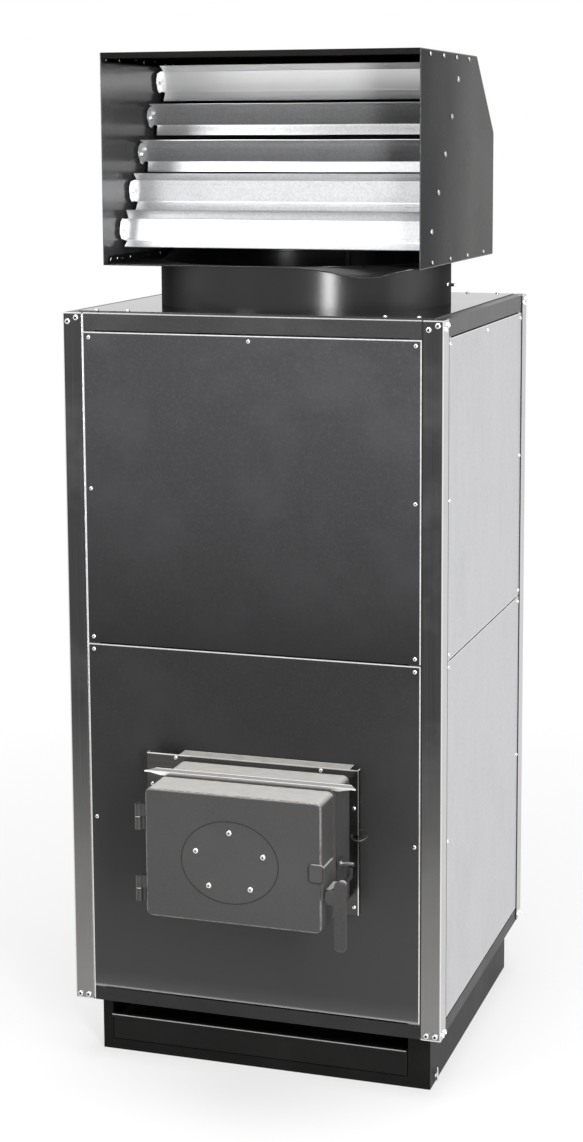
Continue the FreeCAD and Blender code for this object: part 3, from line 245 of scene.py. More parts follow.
@dataclass(frozen=True)
class Plate:
    """A flat plate with rounded corners and softened edges."""

    across: Span
    up: Span
    corner: float
    wall: float
    bevel: float = SHEET_BEVEL
    arc_steps: int = 7

    def skin(self) -> Skin:
        """Make the plate's closed surface, flat on its first two axes and thick along the third."""
        outline = rounded_outline(self.across, self.up, self.corner, self.arc_steps)
        return slab(outline, self.wall, self.bevel)


def side_pair(outline: Array, wall: float, half_width: float) -> list[Skin]:
    """Stand two like plates upright, one at the left and one at the right, facing sideways.

    Args:
        outline: An array of n by 2 points, backward and up.
        wall: How thick each plate is.
        half_width: How far each plate's outer face is from the middle.

    Returns:
        The left plate and the right one.
    """
    plate = slab(outline, wall, SHEET_BEVEL)
    return [plate.placed(BACK_AND_UP, (start, 0.0, 0.0)) for start in (-half_width, half_width - wall)]


def make_piece(name: str, skin: Skin, finish: "Finish", body: str, slot: str, replaced: Sequence[str] = (),
               smooth_degrees: float = 35.0) -> None:
    """Put a surface into the scene as a piece that moves with a body.

    Args:
        name: The piece's name.
        skin: Its surface.
        finish: Its finish.
        body: The body that carries it.
        slot: The name of the record's material slot that it belongs to; not used.
        replaced: The CAD nodes that it stands for.
        smooth_degrees: Edges sharper than this stay sharp.
    """
    mesh = bpy.data.meshes.new(name)
    mesh.from_pydata(skin.points.tolist(), [], skin.faces.tolist())
    work = bmesh.new()
    work.from_mesh(mesh)
    bmesh.ops.remove_doubles(work, verts=work.verts, dist=MERGE_DISTANCE)
    bmesh.ops.recalc_face_normals(work, faces=work.faces)
    work.to_mesh(mesh)
    work.free()
    mesh.shade_smooth()
    mesh.set_sharp_from_angle(angle=math.radians(smooth_degrees))
    mesh.materials.append(finish.new(name))
    piece = bpy.data.objects.new(name, mesh)
    bpy.context.scene.collection.objects.link(piece)
    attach(piece, body)
    if replaced:
        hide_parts(*replaced)
    LOG.info("piece %s: %d faces on %s", name, len(mesh.polygons), body)


@dataclass(frozen=True)
class Bounds:
    """The box that a finish measures a piece's edges from."""

    low: Place
    high: Place

    @staticmethod
    def of(node: str) -> "Bounds":
        """Read a CAD node's box."""
        low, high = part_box(node)
        return Bounds(tuple(low), tuple(high))

    def opened(self, edges: Edges) -> "Bounds":
        """Push out the sides whose edges stay plain.

        Args:
            edges: The edges that count.

        Returns:
            The wider box.
        """
        left, right, below = edges.value
        low = (self.low[0] - left, self.low[1], self.low[2] - below)
        return Bounds(low, (self.high[0] + right, self.high[1], self.high[2]))


class Graph:
    """A node graph, with short calls for the nodes that the finishes and the surround use."""

    def __init__(self, owner: bpy.types.Material | bpy.types.World) -> None:
        """Take up the node tree of a material or a world."""
        owner.use_nodes = True
        self.tree = owner.node_tree

    def join(self, socket: Socket, value: object) -> None:
        """Feed a socket.

        Args:
            socket: The socket.
            value: A socket to link it to, or a plain value to set it to.
        """
        if isinstance(value, Socket):
            self.tree.links.new(value, socket)
        else:
            socket.default_value = value

    def fill(self, node: bpy.types.Node, **values: object) -> bpy.types.Node:
        """Feed a node's sockets by name.

        Args:
            node: The node.
            values: What each socket gets; a space in its name is written as an underscore.

        Returns:
            The node.
        """
        for word, value in values.items():
            self.join(node.inputs[word.replace("_", " ")], value)
        return node

    def add(self, kind: str, **values: object) -> bpy.types.Node:
        """Add a node of a kind and feed its sockets by name."""
        return self.fill(self.tree.nodes.new(kind), **values)

    def split(self, vector: Socket) -> list[Socket]:
        """Split a vector into its three parts."""
        return list(self.add("ShaderNodeSeparateXYZ", Vector=vector).outputs)

    def calc(self, operation: str, first: object, second: object = 0.0) -> Socket:
        """Do one step of arithmetic.

        Args:
            operation: The step's name.
            first: A socket or a number.
            second: A socket or a number.

        Returns:
            The result's socket.
        """
        node = self.add("ShaderNodeMath")
        node.operation = operation
        self.join(node.inputs[0], first)
        self.join(node.inputs[1], second)
        return node.outputs[0]

    def spread(self, value: Socket, source: Span, target: Span) -> Socket:
        """Map a value from one range to another, held at its ends."""
        ranges = {"From_Min": source[0], "From_Max": source[1], "To_Min": target[0], "To_Max": target[1]}
        return self.add("ShaderNodeMapRange", Value=value, **ranges).outputs["Result"]

    def shade(self, factor: object, first: object, second: object) -> Socket:
        """Mix two colours.

        Args:
            factor: How much of the second colour shows.
            first: A colour or a socket.
            second: A colour or a socket.

        Returns:
            The mixed colour's socket.
        """
        node = self.add("ShaderNodeMix")
        node.data_type = "RGBA"
        self.join(node.inputs[0], factor)
        for socket, colour in ((node.inputs[6], first), (node.inputs[7], second)):
            self.join(socket, (*colour, 1.0) if isinstance(colour, tuple) else colour)
        return node.outputs[2]

    def seen(self) -> Socket:
        """Tell rays that end in the picture, also by mirror or glass, from those that only give light.

        Returns:
            A socket that is 1 for rays that end in the picture.
        """
        path = self.add("ShaderNodeLightPath").outputs
        mirrored = self.calc("MAXIMUM", path["Is Camera Ray"], path["Is Glossy Ray"])
        return self.calc("MAXIMUM", mirrored, path["Is Transmission Ray"])


class Surface(Graph):
    """A material's graph, with its surface shader and the patterns that the finishes share."""

    # The mask of faces that face up, for dust and for a painted light on top faces.
    upward_tilt: Span = (0.35, 0.95)
    upward_patch_scale: float = 60.0
    upward_patch_band: Span = (0.3, 0.6)
    upward_patch_cover: Span = (0.9, 1.0)
    wave_depth: float = 0.02

    def __init__(self, name: str) -> None:
        """Start a material with one surface shader and the piece's own coordinates.

        Args:
            name: The material's name.
        """
        self.material = bpy.data.materials.new(name)
        super().__init__(self.material)
        self.shader = self.tree.nodes["Principled BSDF"]
        coordinates = self.add("ShaderNodeTexCoord").outputs
        self.point = coordinates["Object"]
        self.place = self.split(self.point)
        self.facing = self.split(coordinates["Normal"])

    def put(self, **values: object) -> None:
        """Feed the surface shader's sockets by name."""
        self.fill(self.shader, **values)

    def noise(self, scale: float, detail: float = 2.0, stretch: Sequence[float] = (1, 1, 1),
              roughness: float = 0.5) -> Socket:
        """Make smooth noise between 0 and 1.

        Args:
            scale: Lumps to the metre.
            detail: How many finer layers are added.
            stretch: Extra scale on each axis.
            roughness: How strong the finer layers are.

        Returns:
            The noise value's socket.
        """
        mapping = self.add("ShaderNodeMapping", Vector=self.point, Scale=stretch)
        node = self.add("ShaderNodeTexNoise", Vector=mapping.outputs["Vector"], Scale=scale, Detail=detail,
                        Roughness=roughness)
        return node.outputs["Fac"]

    def cells(self, scale: float) -> Socket:
        """Make random grey cells, such as zinc spangle, with so many to the metre."""
        node = self.add("ShaderNodeTexVoronoi", Vector=self.point, Scale=scale)
        return self.add("ShaderNodeRGBToBW", Color=node.outputs["Color"]).outputs["Val"]

    def edge(self, bounds: Bounds, width: float) -> Socket:
        """Mask the edges of a box-shaped piece.

        A point lies on an edge where the second smallest of its three distances to the box's sides is small.

        Args:
            bounds: The piece's box.
            width: How far in from the edge the mask reaches.

        Returns:
            A socket that is 1 on the edges and 0 elsewhere.
        """
        gaps = []
        for part, least, most in zip(self.place, bounds.low, bounds.high):
            low = self.calc("SUBTRACT", part, least)
            high = self.calc("SUBTRACT", most, part)
            gaps.append(self.calc("MINIMUM", low, high))
        smaller = self.calc("MINIMUM", gaps[0], gaps[1])
        larger = self.calc("MAXIMUM", gaps[0], gaps[1])
        second = self.calc("MAXIMUM", smaller, self.calc("MINIMUM", larger, gaps[2]))
        return self.spread(second, (width / 2, width), (1.0, 0.0))

    def upward_mask(self) -> Socket:
        """Mask the faces that face up, a little unevenly, for dust and for a painted light on top faces.

        Returns:
            A socket that is 1 where the dust and the painted top light hide what is under it.
        """
        level = self.spread(self.facing[2], self.upward_tilt, WHOLE)
        uneven = self.spread(self.noise(self.upward_patch_scale, detail=5.0), self.upward_patch_band, self.upward_patch_cover)
        return self.calc("MULTIPLY", level, uneven)

    def slant(self) -> Socket:
        """Tell how far the surface turns away from the eye, from 0 to 1, for its gloss."""
        return self.add("ShaderNodeLayerWeight").outputs["Facing"]

    def dent(self, height: Socket, strength: float, depth: float) -> None:
        """Bump the surface, after any bump that is there already.

        Args:
            height: The bump's height, from 0 to 1.
            strength: How much of it shows.
            depth: How deep the bump is.
        """
        node = self.add("ShaderNodeBump", Strength=strength, Distance=depth, Height=height)
        before = self.shader.inputs["Normal"].links
        if before:
            self.fill(node, Normal=before[0].from_socket)
        self.put(Normal=node.outputs["Normal"])

    def warp(self, scale: float, strength: float) -> None:
        """Bump sheet metal in slow waves, if it has any."""
        if strength > 0:
            self.dent(self.noise(scale, detail=1.0), strength, self.wave_depth)


def scaled(colour: Colour, factor: float) -> Colour:
    """Make a colour lighter or darker, up to white."""
    return tuple(min(1.0, part * factor) for part in colour)


@dataclass(frozen=True)
class WearAndHighlight:
    """Bare metal showing along a piece's edges, and a painted highlight on them."""

    width: float
    colour: Colour = (0.62, 0.62, 0.6)
    metal: float = 0.9
    patchy: float = 0.45


@dataclass(frozen=True)
class Fade:
    """A second colour that comes in along one axis of a piece, the height unless it is said, as painted light
    and shade.
    """

    span: Span
    colour: Colour
    axis: int = 2


@dataclass(frozen=True)
class Paint:
    """Sprayed paint on sheet metal, with fine grain, slow mottling, dust and a painted light on upper faces,
    worn edges with a painted highlight, and painted light and shade fading in along an axis.
    """

    colour: Colour
    roughness: float
    gloss: float = 0.5
    grain: float = 0.2
    grain_scale: float = 1200.0
    mottle: float = 0.2
    wave: float = 0.0
    wear_and_highlight: WearAndHighlight | None = None
    dust_and_top_light: Colour | None = None
    fades: tuple[Fade, ...] = ()
    ior: float = 1.5
    rim_rough: float = 0.0
    grain_band: Span = (0.35, 0.65)
    grain_strength: float = 0.06
    grain_depth: float = 0.0004
    speckle_scale: float = 0.25
    speckle_band: Span = (0.5, 0.75)
    speckle_cover: float = 0.9
    speckle_gain: float = 1.5
    mottle_scale: float = 7.0
    mottle_band: Span = (0.45, 0.8)
    mottle_cover: float = 0.8
    mottle_gain: float = 2.0
    gloss_band: Span = (0.3, 0.7)
    gloss_swing: float = 0.12
    fade_power: float = 1.5
    fade_cover: float = 0.85
    patch_scale: float = 140.0
    patch_band: Span = (0.35, 0.55)
    rim_band: Span = (0.3, 0.65)
    wave_scale: float = 4.0

    def material(self, name: str, bounds: Bounds | None = None) -> bpy.types.Material:
        """Make the paint's material.

        Args:
            name: The material's name.
            bounds: The box whose edges are worn bare and carry a painted highlight, if any.

        Returns:
            The material.
        """
        graph = Surface(name)
        grain = graph.noise(self.grain_scale)
        speckle = graph.noise(self.grain_scale * self.speckle_scale)
        mottle = graph.noise(self.mottle_scale, detail=4.0, roughness=0.6)
        colour = graph.shade(graph.spread(grain, self.grain_band, WHOLE), scaled(self.colour, 1 - self.grain),
                             scaled(self.colour, 1 + self.grain))
        colour = graph.shade(graph.spread(speckle, self.speckle_band, (0.0, self.speckle_cover)), colour,
                             scaled(self.colour, 1 + self.grain * self.speckle_gain))
        colour = graph.shade(graph.spread(mottle, self.mottle_band, (0.0, self.mottle_cover)), colour,
                             scaled(self.colour, 1 + self.mottle * self.mottle_gain))
        # Painted light and shade: a second colour that fades in along an axis.
        for fade in self.fades:
            reach = graph.spread(graph.place[fade.axis], fade.span, WHOLE)
            share = graph.calc("MULTIPLY", graph.calc("POWER", reach, self.fade_power), self.fade_cover)
            colour = graph.shade(share, colour, fade.colour)
        # Dust, and a painted light on faces that face up.
        if self.dust_and_top_light is not None:
            colour = graph.shade(graph.upward_mask(), colour, self.dust_and_top_light)
        # Bare, worn edges and a painted highlight along them.
        if bounds is not None and self.wear_and_highlight is not None:
            patch = graph.spread(graph.noise(self.patch_scale, detail=3.0), self.patch_band,
                                 (1 - self.wear_and_highlight.patchy, 1.0))
            bare = graph.calc("MULTIPLY", graph.edge(bounds, self.wear_and_highlight.width), patch)
            colour = graph.shade(bare, colour, self.wear_and_highlight.colour)
            graph.put(Metallic=graph.calc("MULTIPLY", bare, self.wear_and_highlight.metal))
        ends = (self.roughness * (1 - self.gloss_swing), min(1.0, self.roughness * (1 + self.gloss_swing)))
        rough = graph.spread(mottle, self.gloss_band, ends)
        if self.rim_rough > 0:
            rim = graph.spread(graph.slant(), self.rim_band, (0.0, self.rim_rough))
            rough = graph.calc("ADD", rough, rim)
        graph.put(Base_Color=colour, Roughness=rough, Specular_IOR_Level=self.gloss, IOR=self.ior)
        graph.dent(grain, self.grain_strength, self.grain_depth)
        graph.warp(self.wave_scale, self.wave)
        return graph.material


@dataclass(frozen=True)
class Metal:
    """Bare metal with streaks, stains, spangle, brighter cut edges with a painted highlight, dust with a
    painted light on upper faces, and a painted reflection on faces that look to the front.
    """

    colour: Colour
    roughness: float
    streak: Streak = Streak.EVEN
    streak_depth: float = 0.18
    stain: float = 0.15
    spangle: float = 0.0
    spangle_scale: float = 160.0
    wave: float = 0.0
    wear_and_highlight: WearAndHighlight | None = None
    dust_and_top_light: Colour | None = None
    # A dark colour on faces that look to the front, lighter towards the foot: a painted reflection.
    front: Fade | None = None
    foot: Fade | None = None
    metal: float = 1.0
    relief: float = 0.05
    relief_depth: float = 0.0003
    streak_band: Span = (0.3, 0.7)
    streak_gloss: float = 1.3
    stain_scale: float = 5.0
    stain_band: Span = (0.5, 0.75)
    stain_gain: float = 2.0
    stain_shade: float = 0.5
    spangle_band: Span = (0.2, 0.8)
    spangle_cover: float = 0.6
    wave_scale: float = 3.5

    def material(self, name: str, bounds: Bounds | None = None) -> bpy.types.Material:
        """Make the metal's material.

        Args:
            name: The material's name.
            bounds: The box whose cut edges are bare and carry a painted highlight, if any.

        Returns:
            The material.
        """
        graph = Surface(name)
        streak = graph.noise(1.0, detail=3.0, stretch=self.streak.value, roughness=0.6)
        stain = graph.noise(self.stain_scale, detail=5.0, roughness=0.6)
        colour = graph.shade(graph.spread(streak, self.streak_band, WHOLE),
                             scaled(self.colour, 1 - self.streak_depth),
                             scaled(self.colour, 1 + self.streak_depth))
        # Painted reflection: faces that look to the front are dark, and lighter towards the foot.
        if self.front is not None and self.foot is not None:
            low = graph.spread(graph.place[self.foot.axis], self.foot.span, WHOLE)
            forward = graph.shade(low, self.front.colour, self.foot.colour)
            faint = graph.spread(streak, self.streak_band, (0.0, self.streak_depth / 2))
            forward = graph.shade(faint, forward, self.colour)
            faces_front = graph.calc("ABSOLUTE", graph.facing[self.front.axis])
            colour = graph.shade(graph.spread(faces_front, self.front.span, WHOLE), colour, forward)
        if self.spangle > 0:
            cells = graph.cells(self.spangle_scale)
            crystal = graph.spread(cells, self.spangle_band, (0.0, self.spangle_cover))
            colour = graph.shade(crystal, colour, scaled(self.colour, 1 + self.spangle))
        stained = graph.spread(stain, self.stain_band, (0.0, self.stain * self.stain_gain))
        colour = graph.shade(stained, colour, scaled(self.colour, self.stain_shade))
        metallic = self.metal
        # Dust, and a painted light on faces that face up.
        if self.dust_and_top_light is not None:
            upward_mask = graph.upward_mask()
            colour = graph.shade(upward_mask, colour, self.dust_and_top_light)
            metallic = graph.calc("MULTIPLY", graph.calc("SUBTRACT", 1.0, upward_mask), self.metal)
        # Bare cut edges and a painted highlight along them.
        if bounds is not None and self.wear_and_highlight is not None:
            colour = graph.shade(graph.edge(bounds, self.wear_and_highlight.width), colour, self.wear_and_highlight.colour)
        swing = self.roughness * self.streak_depth * self.streak_gloss
        rough = graph.spread(streak, self.streak_band, (self.roughness - swing, self.roughness + swing))
        graph.put(Base_Color=colour, Roughness=rough, Metallic=metallic)
        graph.dent(streak, self.relief, self.relief_depth)
        graph.warp(self.wave_scale, self.wave)
        return graph.material


@dataclass(frozen=True)
class Rough:
    """A dull, lumpy surface such as fired clay, fibre or heat-stained iron."""

    colour: Colour
    second: Colour
    lump_scale: float
    lump_depth: float
    roughness: float = 0.9
    lump_band: Span = (0.45, 0.7)
    lump_strength: float = 0.5
    blotch_scale: float = 0.08
    blotch_band: Span = (0.4, 0.65)
    hollow_shade: float = 0.6
    hollow_cover: float = 0.6

    def material(self, name: str, bounds: Bounds | None = None) -> bpy.types.Material:
        """Make the rough surface's material.

        Args:
            name: The material's name.
            bounds: A box, for which this look has no use.

        Returns:
            The material.
        """
        graph = Surface(name)
        lump = graph.noise(self.lump_scale, detail=6.0, roughness=0.65)
        blotch = graph.noise(self.lump_scale * self.blotch_scale, detail=3.0)
        colour = graph.shade(graph.spread(blotch, self.blotch_band, WHOLE), self.colour, self.second)
        sunk = graph.spread(lump, self.lump_band, (0.0, self.hollow_cover))
        colour = graph.shade(sunk, colour, scaled(self.colour, self.hollow_shade))
        graph.put(Base_Color=colour, Roughness=self.roughness)
        graph.dent(lump, self.lump_strength, self.lump_depth)
        return graph.material


# Pale ash dust, and a painted light on the top faces it covers.
ASH_AND_TOP_LIGHT = (0.48, 0.47, 0.45)
# Edge colours: partly bare or worn metal, partly a painted highlight along the edges.
BRIGHT_EDGE = WearAndHighlight(0.0026, (0.75, 0.75, 0.74), 1.0, 0.2)
# The door's edges: a painted soft highlight, partly rubbed wear.
RUBBED_AND_LIT_EDGE = WearAndHighlight(0.0040, (0.17, 0.167, 0.163), 0.45, 0.7)
DULL_EDGE = WearAndHighlight(0.0020, (0.12, 0.12, 0.12), 0.8, 0.6)


class Finish(Enum):
    """The finishes of the heater."""

    # The front panels' colours paint light and shade: the upper panel darkens downward; the lower one is
    # darker at its top and lightens downward, with a painted reflection above its foot and a painted
    # highlight line on its bottom edge.
    FRONT_PANEL = Paint((0.040, 0.040, 0.0425), 0.46, 0.2, 0.24, 800.0, 0.3, wear_and_highlight=BRIGHT_EDGE,
                        fades=(Fade((1.38, 0.78), (0.006, 0.006, 0.0065)),))
    FRONT_PANEL_LOW = Paint((0.017, 0.017, 0.018), 0.46, 0.2, 0.24, 800.0, 0.3, wear_and_highlight=BRIGHT_EDGE,
                            fades=(Fade((0.80, 0.30), (0.036, 0.036, 0.037)),
                                   Fade((0.180, 0.144), (0.062, 0.062, 0.062)),
                                   Fade((0.149, 0.1445), (0.3, 0.3, 0.295))))
    RAIL = Paint((0.034, 0.034, 0.035), 0.32, 0.35, 0.2, 900.0, 0.4, 0.05,
                 WearAndHighlight(0.0022, (0.7, 0.7, 0.7), 1.0, 0.2), ior=1.35)
    RAIL_LOW = Paint((0.018, 0.018, 0.018), 0.36, 0.25, 0.2, 900.0, 0.35, 0.05, ior=1.35)
    COVER = Paint((0.008, 0.008, 0.0085), 0.10, 0.5, 0.15, 900.0, 0.2, 0.02, DULL_EDGE)
    # The head's right side: painted light, lighter towards the rear, and a strong mottle that paints the
    # sheen of its wavy sheet.
    HEAD_BLACK = Paint((0.003, 0.003, 0.0032), 0.27, 0.4, 0.2, 1100.0, 1.5, 0.3, DULL_EDGE, ior=1.08,
                       fades=(Fade((-0.27, 0.10), (0.085, 0.085, 0.083), 1),))
    # A lighter copy of the head's black paint: a painted light on the head's left side and the collar's seam.
    HEAD_LEFT = Paint((0.042, 0.042, 0.043), 0.2, 0.5, 0.2, 1100.0, 0.25, 0.08, DULL_EDGE)
    HOOD = Paint((0.010, 0.010, 0.0105), 0.3, 0.25, 0.2, 1100.0, 0.25, 0.08, ior=1.3)
    COLLAR = Paint((0.004, 0.004, 0.0043), 0.19, 1.0, 0.2, 1100.0, 0.2, 0.03, ior=1.31, rim_rough=0.8)
    PLINTH = Paint((0.0095, 0.0092, 0.0088), 0.34, 0.2, 0.2, 1100.0, 0.3, 0.03, ior=1.2)
    DRAWER = Paint((0.0095, 0.0092, 0.0088), 0.34, 0.2, 0.2, 1100.0, 0.3, 0.03,
                   WearAndHighlight(0.0020, (0.5, 0.5, 0.5), 1.0, 0.2), ior=1.3)
    DOOR = Paint((0.043, 0.042, 0.0415), 0.52, 0.3, 0.16, 1500.0, 0.12, 0.02, RUBBED_AND_LIT_EDGE, ASH_AND_TOP_LIGHT)
    STOVE_PAINT = Paint((0.045, 0.044, 0.0435), 0.52, 0.3, 0.16, 1500.0, 0.12, 0.02, dust_and_top_light=ASH_AND_TOP_LIGHT)
    IRON = Paint((0.024, 0.0235, 0.023), 0.34, 0.5, 0.3, 700.0, 0.5)
    # Black: a real gasket, and the dark pieces that paint shade and shadow in screw recesses and gaps.
    SOOT = Rough((0.012, 0.012, 0.012), (0.02, 0.019, 0.018), 300.0, 0.0005)
    # The posts: a painted reflection, dark on the front faces and lighter at the foot.
    POST_STEEL = Metal((0.57, 0.57, 0.57), 0.33, Streak.UPRIGHT, 0.06, 0.1, wear_and_highlight=BRIGHT_EDGE,
                       front=Fade((0.5, 0.7), (0.047, 0.047, 0.047), 1),
                       foot=Fade((0.7, 0.16), (0.22, 0.215, 0.21)))
    ZINC_SHEET = Metal((0.56, 0.56, 0.575), 0.42, Streak.SOFT_UPRIGHT, 0.06, 0.06, 0.12, 260.0, 0.05,
                       WearAndHighlight(0.002, (0.8, 0.8, 0.8)))
    BLADE = Metal((0.72, 0.725, 0.735), 0.29, Streak.ACROSS, 0.05, 0.12, 0.22, 330.0, metal=0.8, relief=0.004)
    # A lighter copy of the blade finish for the top blade: a painted light.
    BLADE_HIGH = Metal((0.97, 0.972, 0.978), 0.33, Streak.ACROSS, 0.03, 0.05, 0.02, 330.0, metal=0.6,
                       relief=0.004)
    FLANGE = Metal((0.07, 0.068, 0.066), 0.18, Streak.ACROSS, 0.25, 0.25,
                   wear_and_highlight=WearAndHighlight(0.0022, (0.8, 0.8, 0.79)), dust_and_top_light=ASH_AND_TOP_LIGHT)
    # The visor: a white painted highlight along its edges, and dust with a painted shade on its top face.
    VISOR = Metal((0.92, 0.92, 0.91), 0.4, Streak.ACROSS, 0.06, 0.05, wear_and_highlight=WearAndHighlight(0.004, (1.0, 1.0, 0.99)),
                  dust_and_top_light=(0.33, 0.325, 0.315))
    GREY_ZINC = Metal((0.42, 0.42, 0.42), 0.3, Streak.EVEN, 0.08, 0.1)
    BRIGHT_ZINC = Metal((0.8, 0.8, 0.81), 0.2, Streak.EVEN, 0.08, 0.1)
    FIREBOX = Rough((0.05, 0.046, 0.043), (0.09, 0.06, 0.045), 90.0, 0.0015, 0.75)
    FIREBRICK = Rough((0.55, 0.42, 0.28), (0.62, 0.5, 0.36), 140.0, 0.003)
    FIBRE = Rough((0.62, 0.6, 0.54), (0.5, 0.48, 0.44), 500.0, 0.0015)
    FAN_BLACK = Rough((0.018, 0.018, 0.018), (0.026, 0.026, 0.026), 400.0, 0.0003, 0.5)

    def new(self, name: str, bounds: Bounds | None = None) -> bpy.types.Material:
        """Make a material of this finish for a piece."""
        return self.value.material("%s_%s" % (self.name.lower(), name), bounds)

    def dress(self, *nodes: str, edges: Edges = Edges.ALL) -> None:
        """Give CAD nodes this finish, each with a material of its own.

        Args:
            nodes: The names of the nodes.
            edges: The edges that are bare or worn and carry a painted highlight.
        """
        for node in nodes:
            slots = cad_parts[node].data.materials
            slots.clear()
            slots.append(self.new(node, Bounds.of(node).opened(edges)))
            LOG.info("node %s: %s", node, self.name.lower())


@dataclass(frozen=True)
class Screw:
    """One screw's place and sizes."""

    seat: Array
    outward: Array
    head: float
    rise: float
    shank: float
    grip: float

    @staticmethod
    def read(points: Array, level_slack: float = 1e-5, rim_share: float = 0.99) -> "Screw":
        """Read a screw off the points of its CAD solid.

        Args:
            points: The solid's points: a head, wide at its seat, and a thinner shank behind it.
            level_slack: How far from an end a point may be and count as lying on it.
            rim_share: The share of the widest radius from which a point counts as the head's rim.

        Returns:
            The screw.
        """
        extent = np.ptp(points, axis=0)
        axis = int(np.argmin(np.abs(np.roll(extent, -1) - np.roll(extent, -2))))
        middle = (points.min(axis=0) + points.max(axis=0)) / 2
        radius = np.linalg.norm(np.delete(points - middle, axis, axis=1), axis=1)
        along = points[:, axis]
        ends = np.array([along.min(), along.max()])
        girth = [radius[np.abs(along - end) < level_slack].max() for end in ends]
        front = int(girth[1] > girth[0])
        level = np.median(along[radius > radius.max() * rim_share])
        outward = np.zeros(3)
        outward[axis] = 2.0 * front - 1.0
        seat = middle.copy()
        seat[axis] = level
        return Screw(seat, outward, radius.max(), abs(ends[front] - level), girth[1 - front],
                     abs(ends[1 - front] - level))

    def recess_shade(self, steps: int = 16) -> Skin:
        """Make the painted shade in the head's recess: a flat round dark lens just above the recess's floor.

        Args:
            steps: Points round it.

        Returns:
            The closed surface.
        """
        radius, height = np.array(RECESS_SHADE_PROFILE).T[..., None] * np.array([self.head, self.rise])[:, None, None]
        points = turned(radius, height, turns(steps))
        return Skin.grid(points, around=True).placed(basis(self.outward), self.seat)

    def skin(self, drive: Drive, turn: float, steps: int = 24) -> Skin:
        """Make the screw's surface.

        A profile turns about the screw's axis, from the shank's tip over the head to the middle of its
        recess. The recess is the profile's inner rings times a cross or a hexagon of the angle; a spanner's
        head is the profile's outer rings times a hexagon.

        Args:
            drive: The head's shape.
            turn: How far the screw was turned home.
            steps: Points round it.

        Returns:
            The closed surface.
        """
        angle = turns(steps)
        sixth = math.pi / 3
        hexagon = math.cos(sixth / 2) / np.cos(np.mod(angle, sixth) - sixth / 2)
        cross = CROSS_WAIST + (1 - CROSS_WAIST) * np.abs(np.cos(2 * angle)) ** 3
        even = np.ones(steps)
        inner = {Drive.CROSS: cross, Drive.SOCKET: hexagon, Drive.SPANNER: even}[drive]
        outer = hexagon if drive is Drive.SPANNER else even
        floor = self.rise * (1 - (FLAT_DEPTH if drive is Drive.SPANNER else RECESS_DEPTH))
        rows = [(0.0, -self.grip, even), (self.shank, -self.grip, even), (self.shank, 0.0, even),
                *((self.head * width, self.rise * level, outer) for width, level in HEAD_PROFILE),
                (self.head * RECESS_RIM, self.rise, inner), (self.head * RECESS_FLOOR, floor, inner),
                (0.0, floor, even)]
        radius = np.stack([width * shape for width, _, shape in rows])
        height = np.array([level for _, level, _ in rows])[:, None]
        points = turned(radius, height, angle + turn)
        return Skin.grid(points, around=True).placed(basis(self.outward), self.seat)


@dataclass(frozen=True)
class HexHead:
    """The sizes of a small six-sided head and its shank, and how far it is turned."""

    head: float
    rise: float
    shank: float
    grip: float
    turn: float

    def skin(self, seat: Sequence[float], outward: Place) -> Skin:
        """Make a head of these sizes on a seat, facing outward."""
        screw = Screw(np.array(seat), np.array(outward), self.head, self.rise, self.shank, self.grip)
        return screw.skin(Drive.SPANNER, self.turn)


@dataclass(frozen=True)
class Fasteners:
    """A group of screws: real heads in the places of the CAD group's solids."""

    node: str
    drive: Drive
    finish: Finish = Finish.BRIGHT_ZINC
    body: str = "casing"
    slot: str = "bright"
    smooth_degrees: float = 30.0

    def solids(self, decimals: int = 6) -> list[Array]:
        """Split the CAD group's mesh into its solids.

        Points that share a face take the lowest number among them, until none changes.

        Args:
            decimals: Points that agree to so many decimals are one.

        Returns:
            The points of each solid.
        """
        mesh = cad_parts[self.node].data
        mesh.calc_loop_triangles()
        points = np.empty(len(mesh.vertices) * 3, np.float32)
        mesh.vertices.foreach_get("co", points)
        corners = np.empty(len(mesh.loop_triangles) * 3, np.int32)
        mesh.loop_triangles.foreach_get("vertices", corners)
        merged, index = np.unique(np.round(points.reshape(-1, 3), decimals), axis=0, return_inverse=True)
        corners = index.reshape(-1)[corners].reshape(-1, 3)
        label = np.arange(len(merged))
        while True:
            lower = label.copy()
            np.minimum.at(lower, corners.ravel(), np.repeat(label[corners].min(axis=1), 3))
            if np.array_equal(lower, label):
                break
            label = lower
        return [merged[label == number].astype(float) for number in np.unique(label)]

    def build(self) -> None:
        """Build the group as one piece in the CAD group's stead, and the painted shade in its recesses as
        another.
        """
        screws = [Screw.read(points) for points in self.solids()]
        heads = [screw.skin(self.drive, number * GOLDEN_TURN) for number, screw in enumerate(screws)]
        make_piece("%s_heads" % self.node, Skin.joined(heads), self.finish, self.body, self.slot, [self.node],
                   self.smooth_degrees)
        if self.drive is not Drive.SPANNER:
            recess_shades = Skin.joined([screw.recess_shade() for screw in screws])
            make_piece("%s_pits" % self.node, recess_shades, Finish.SOOT, self.body, self.slot)


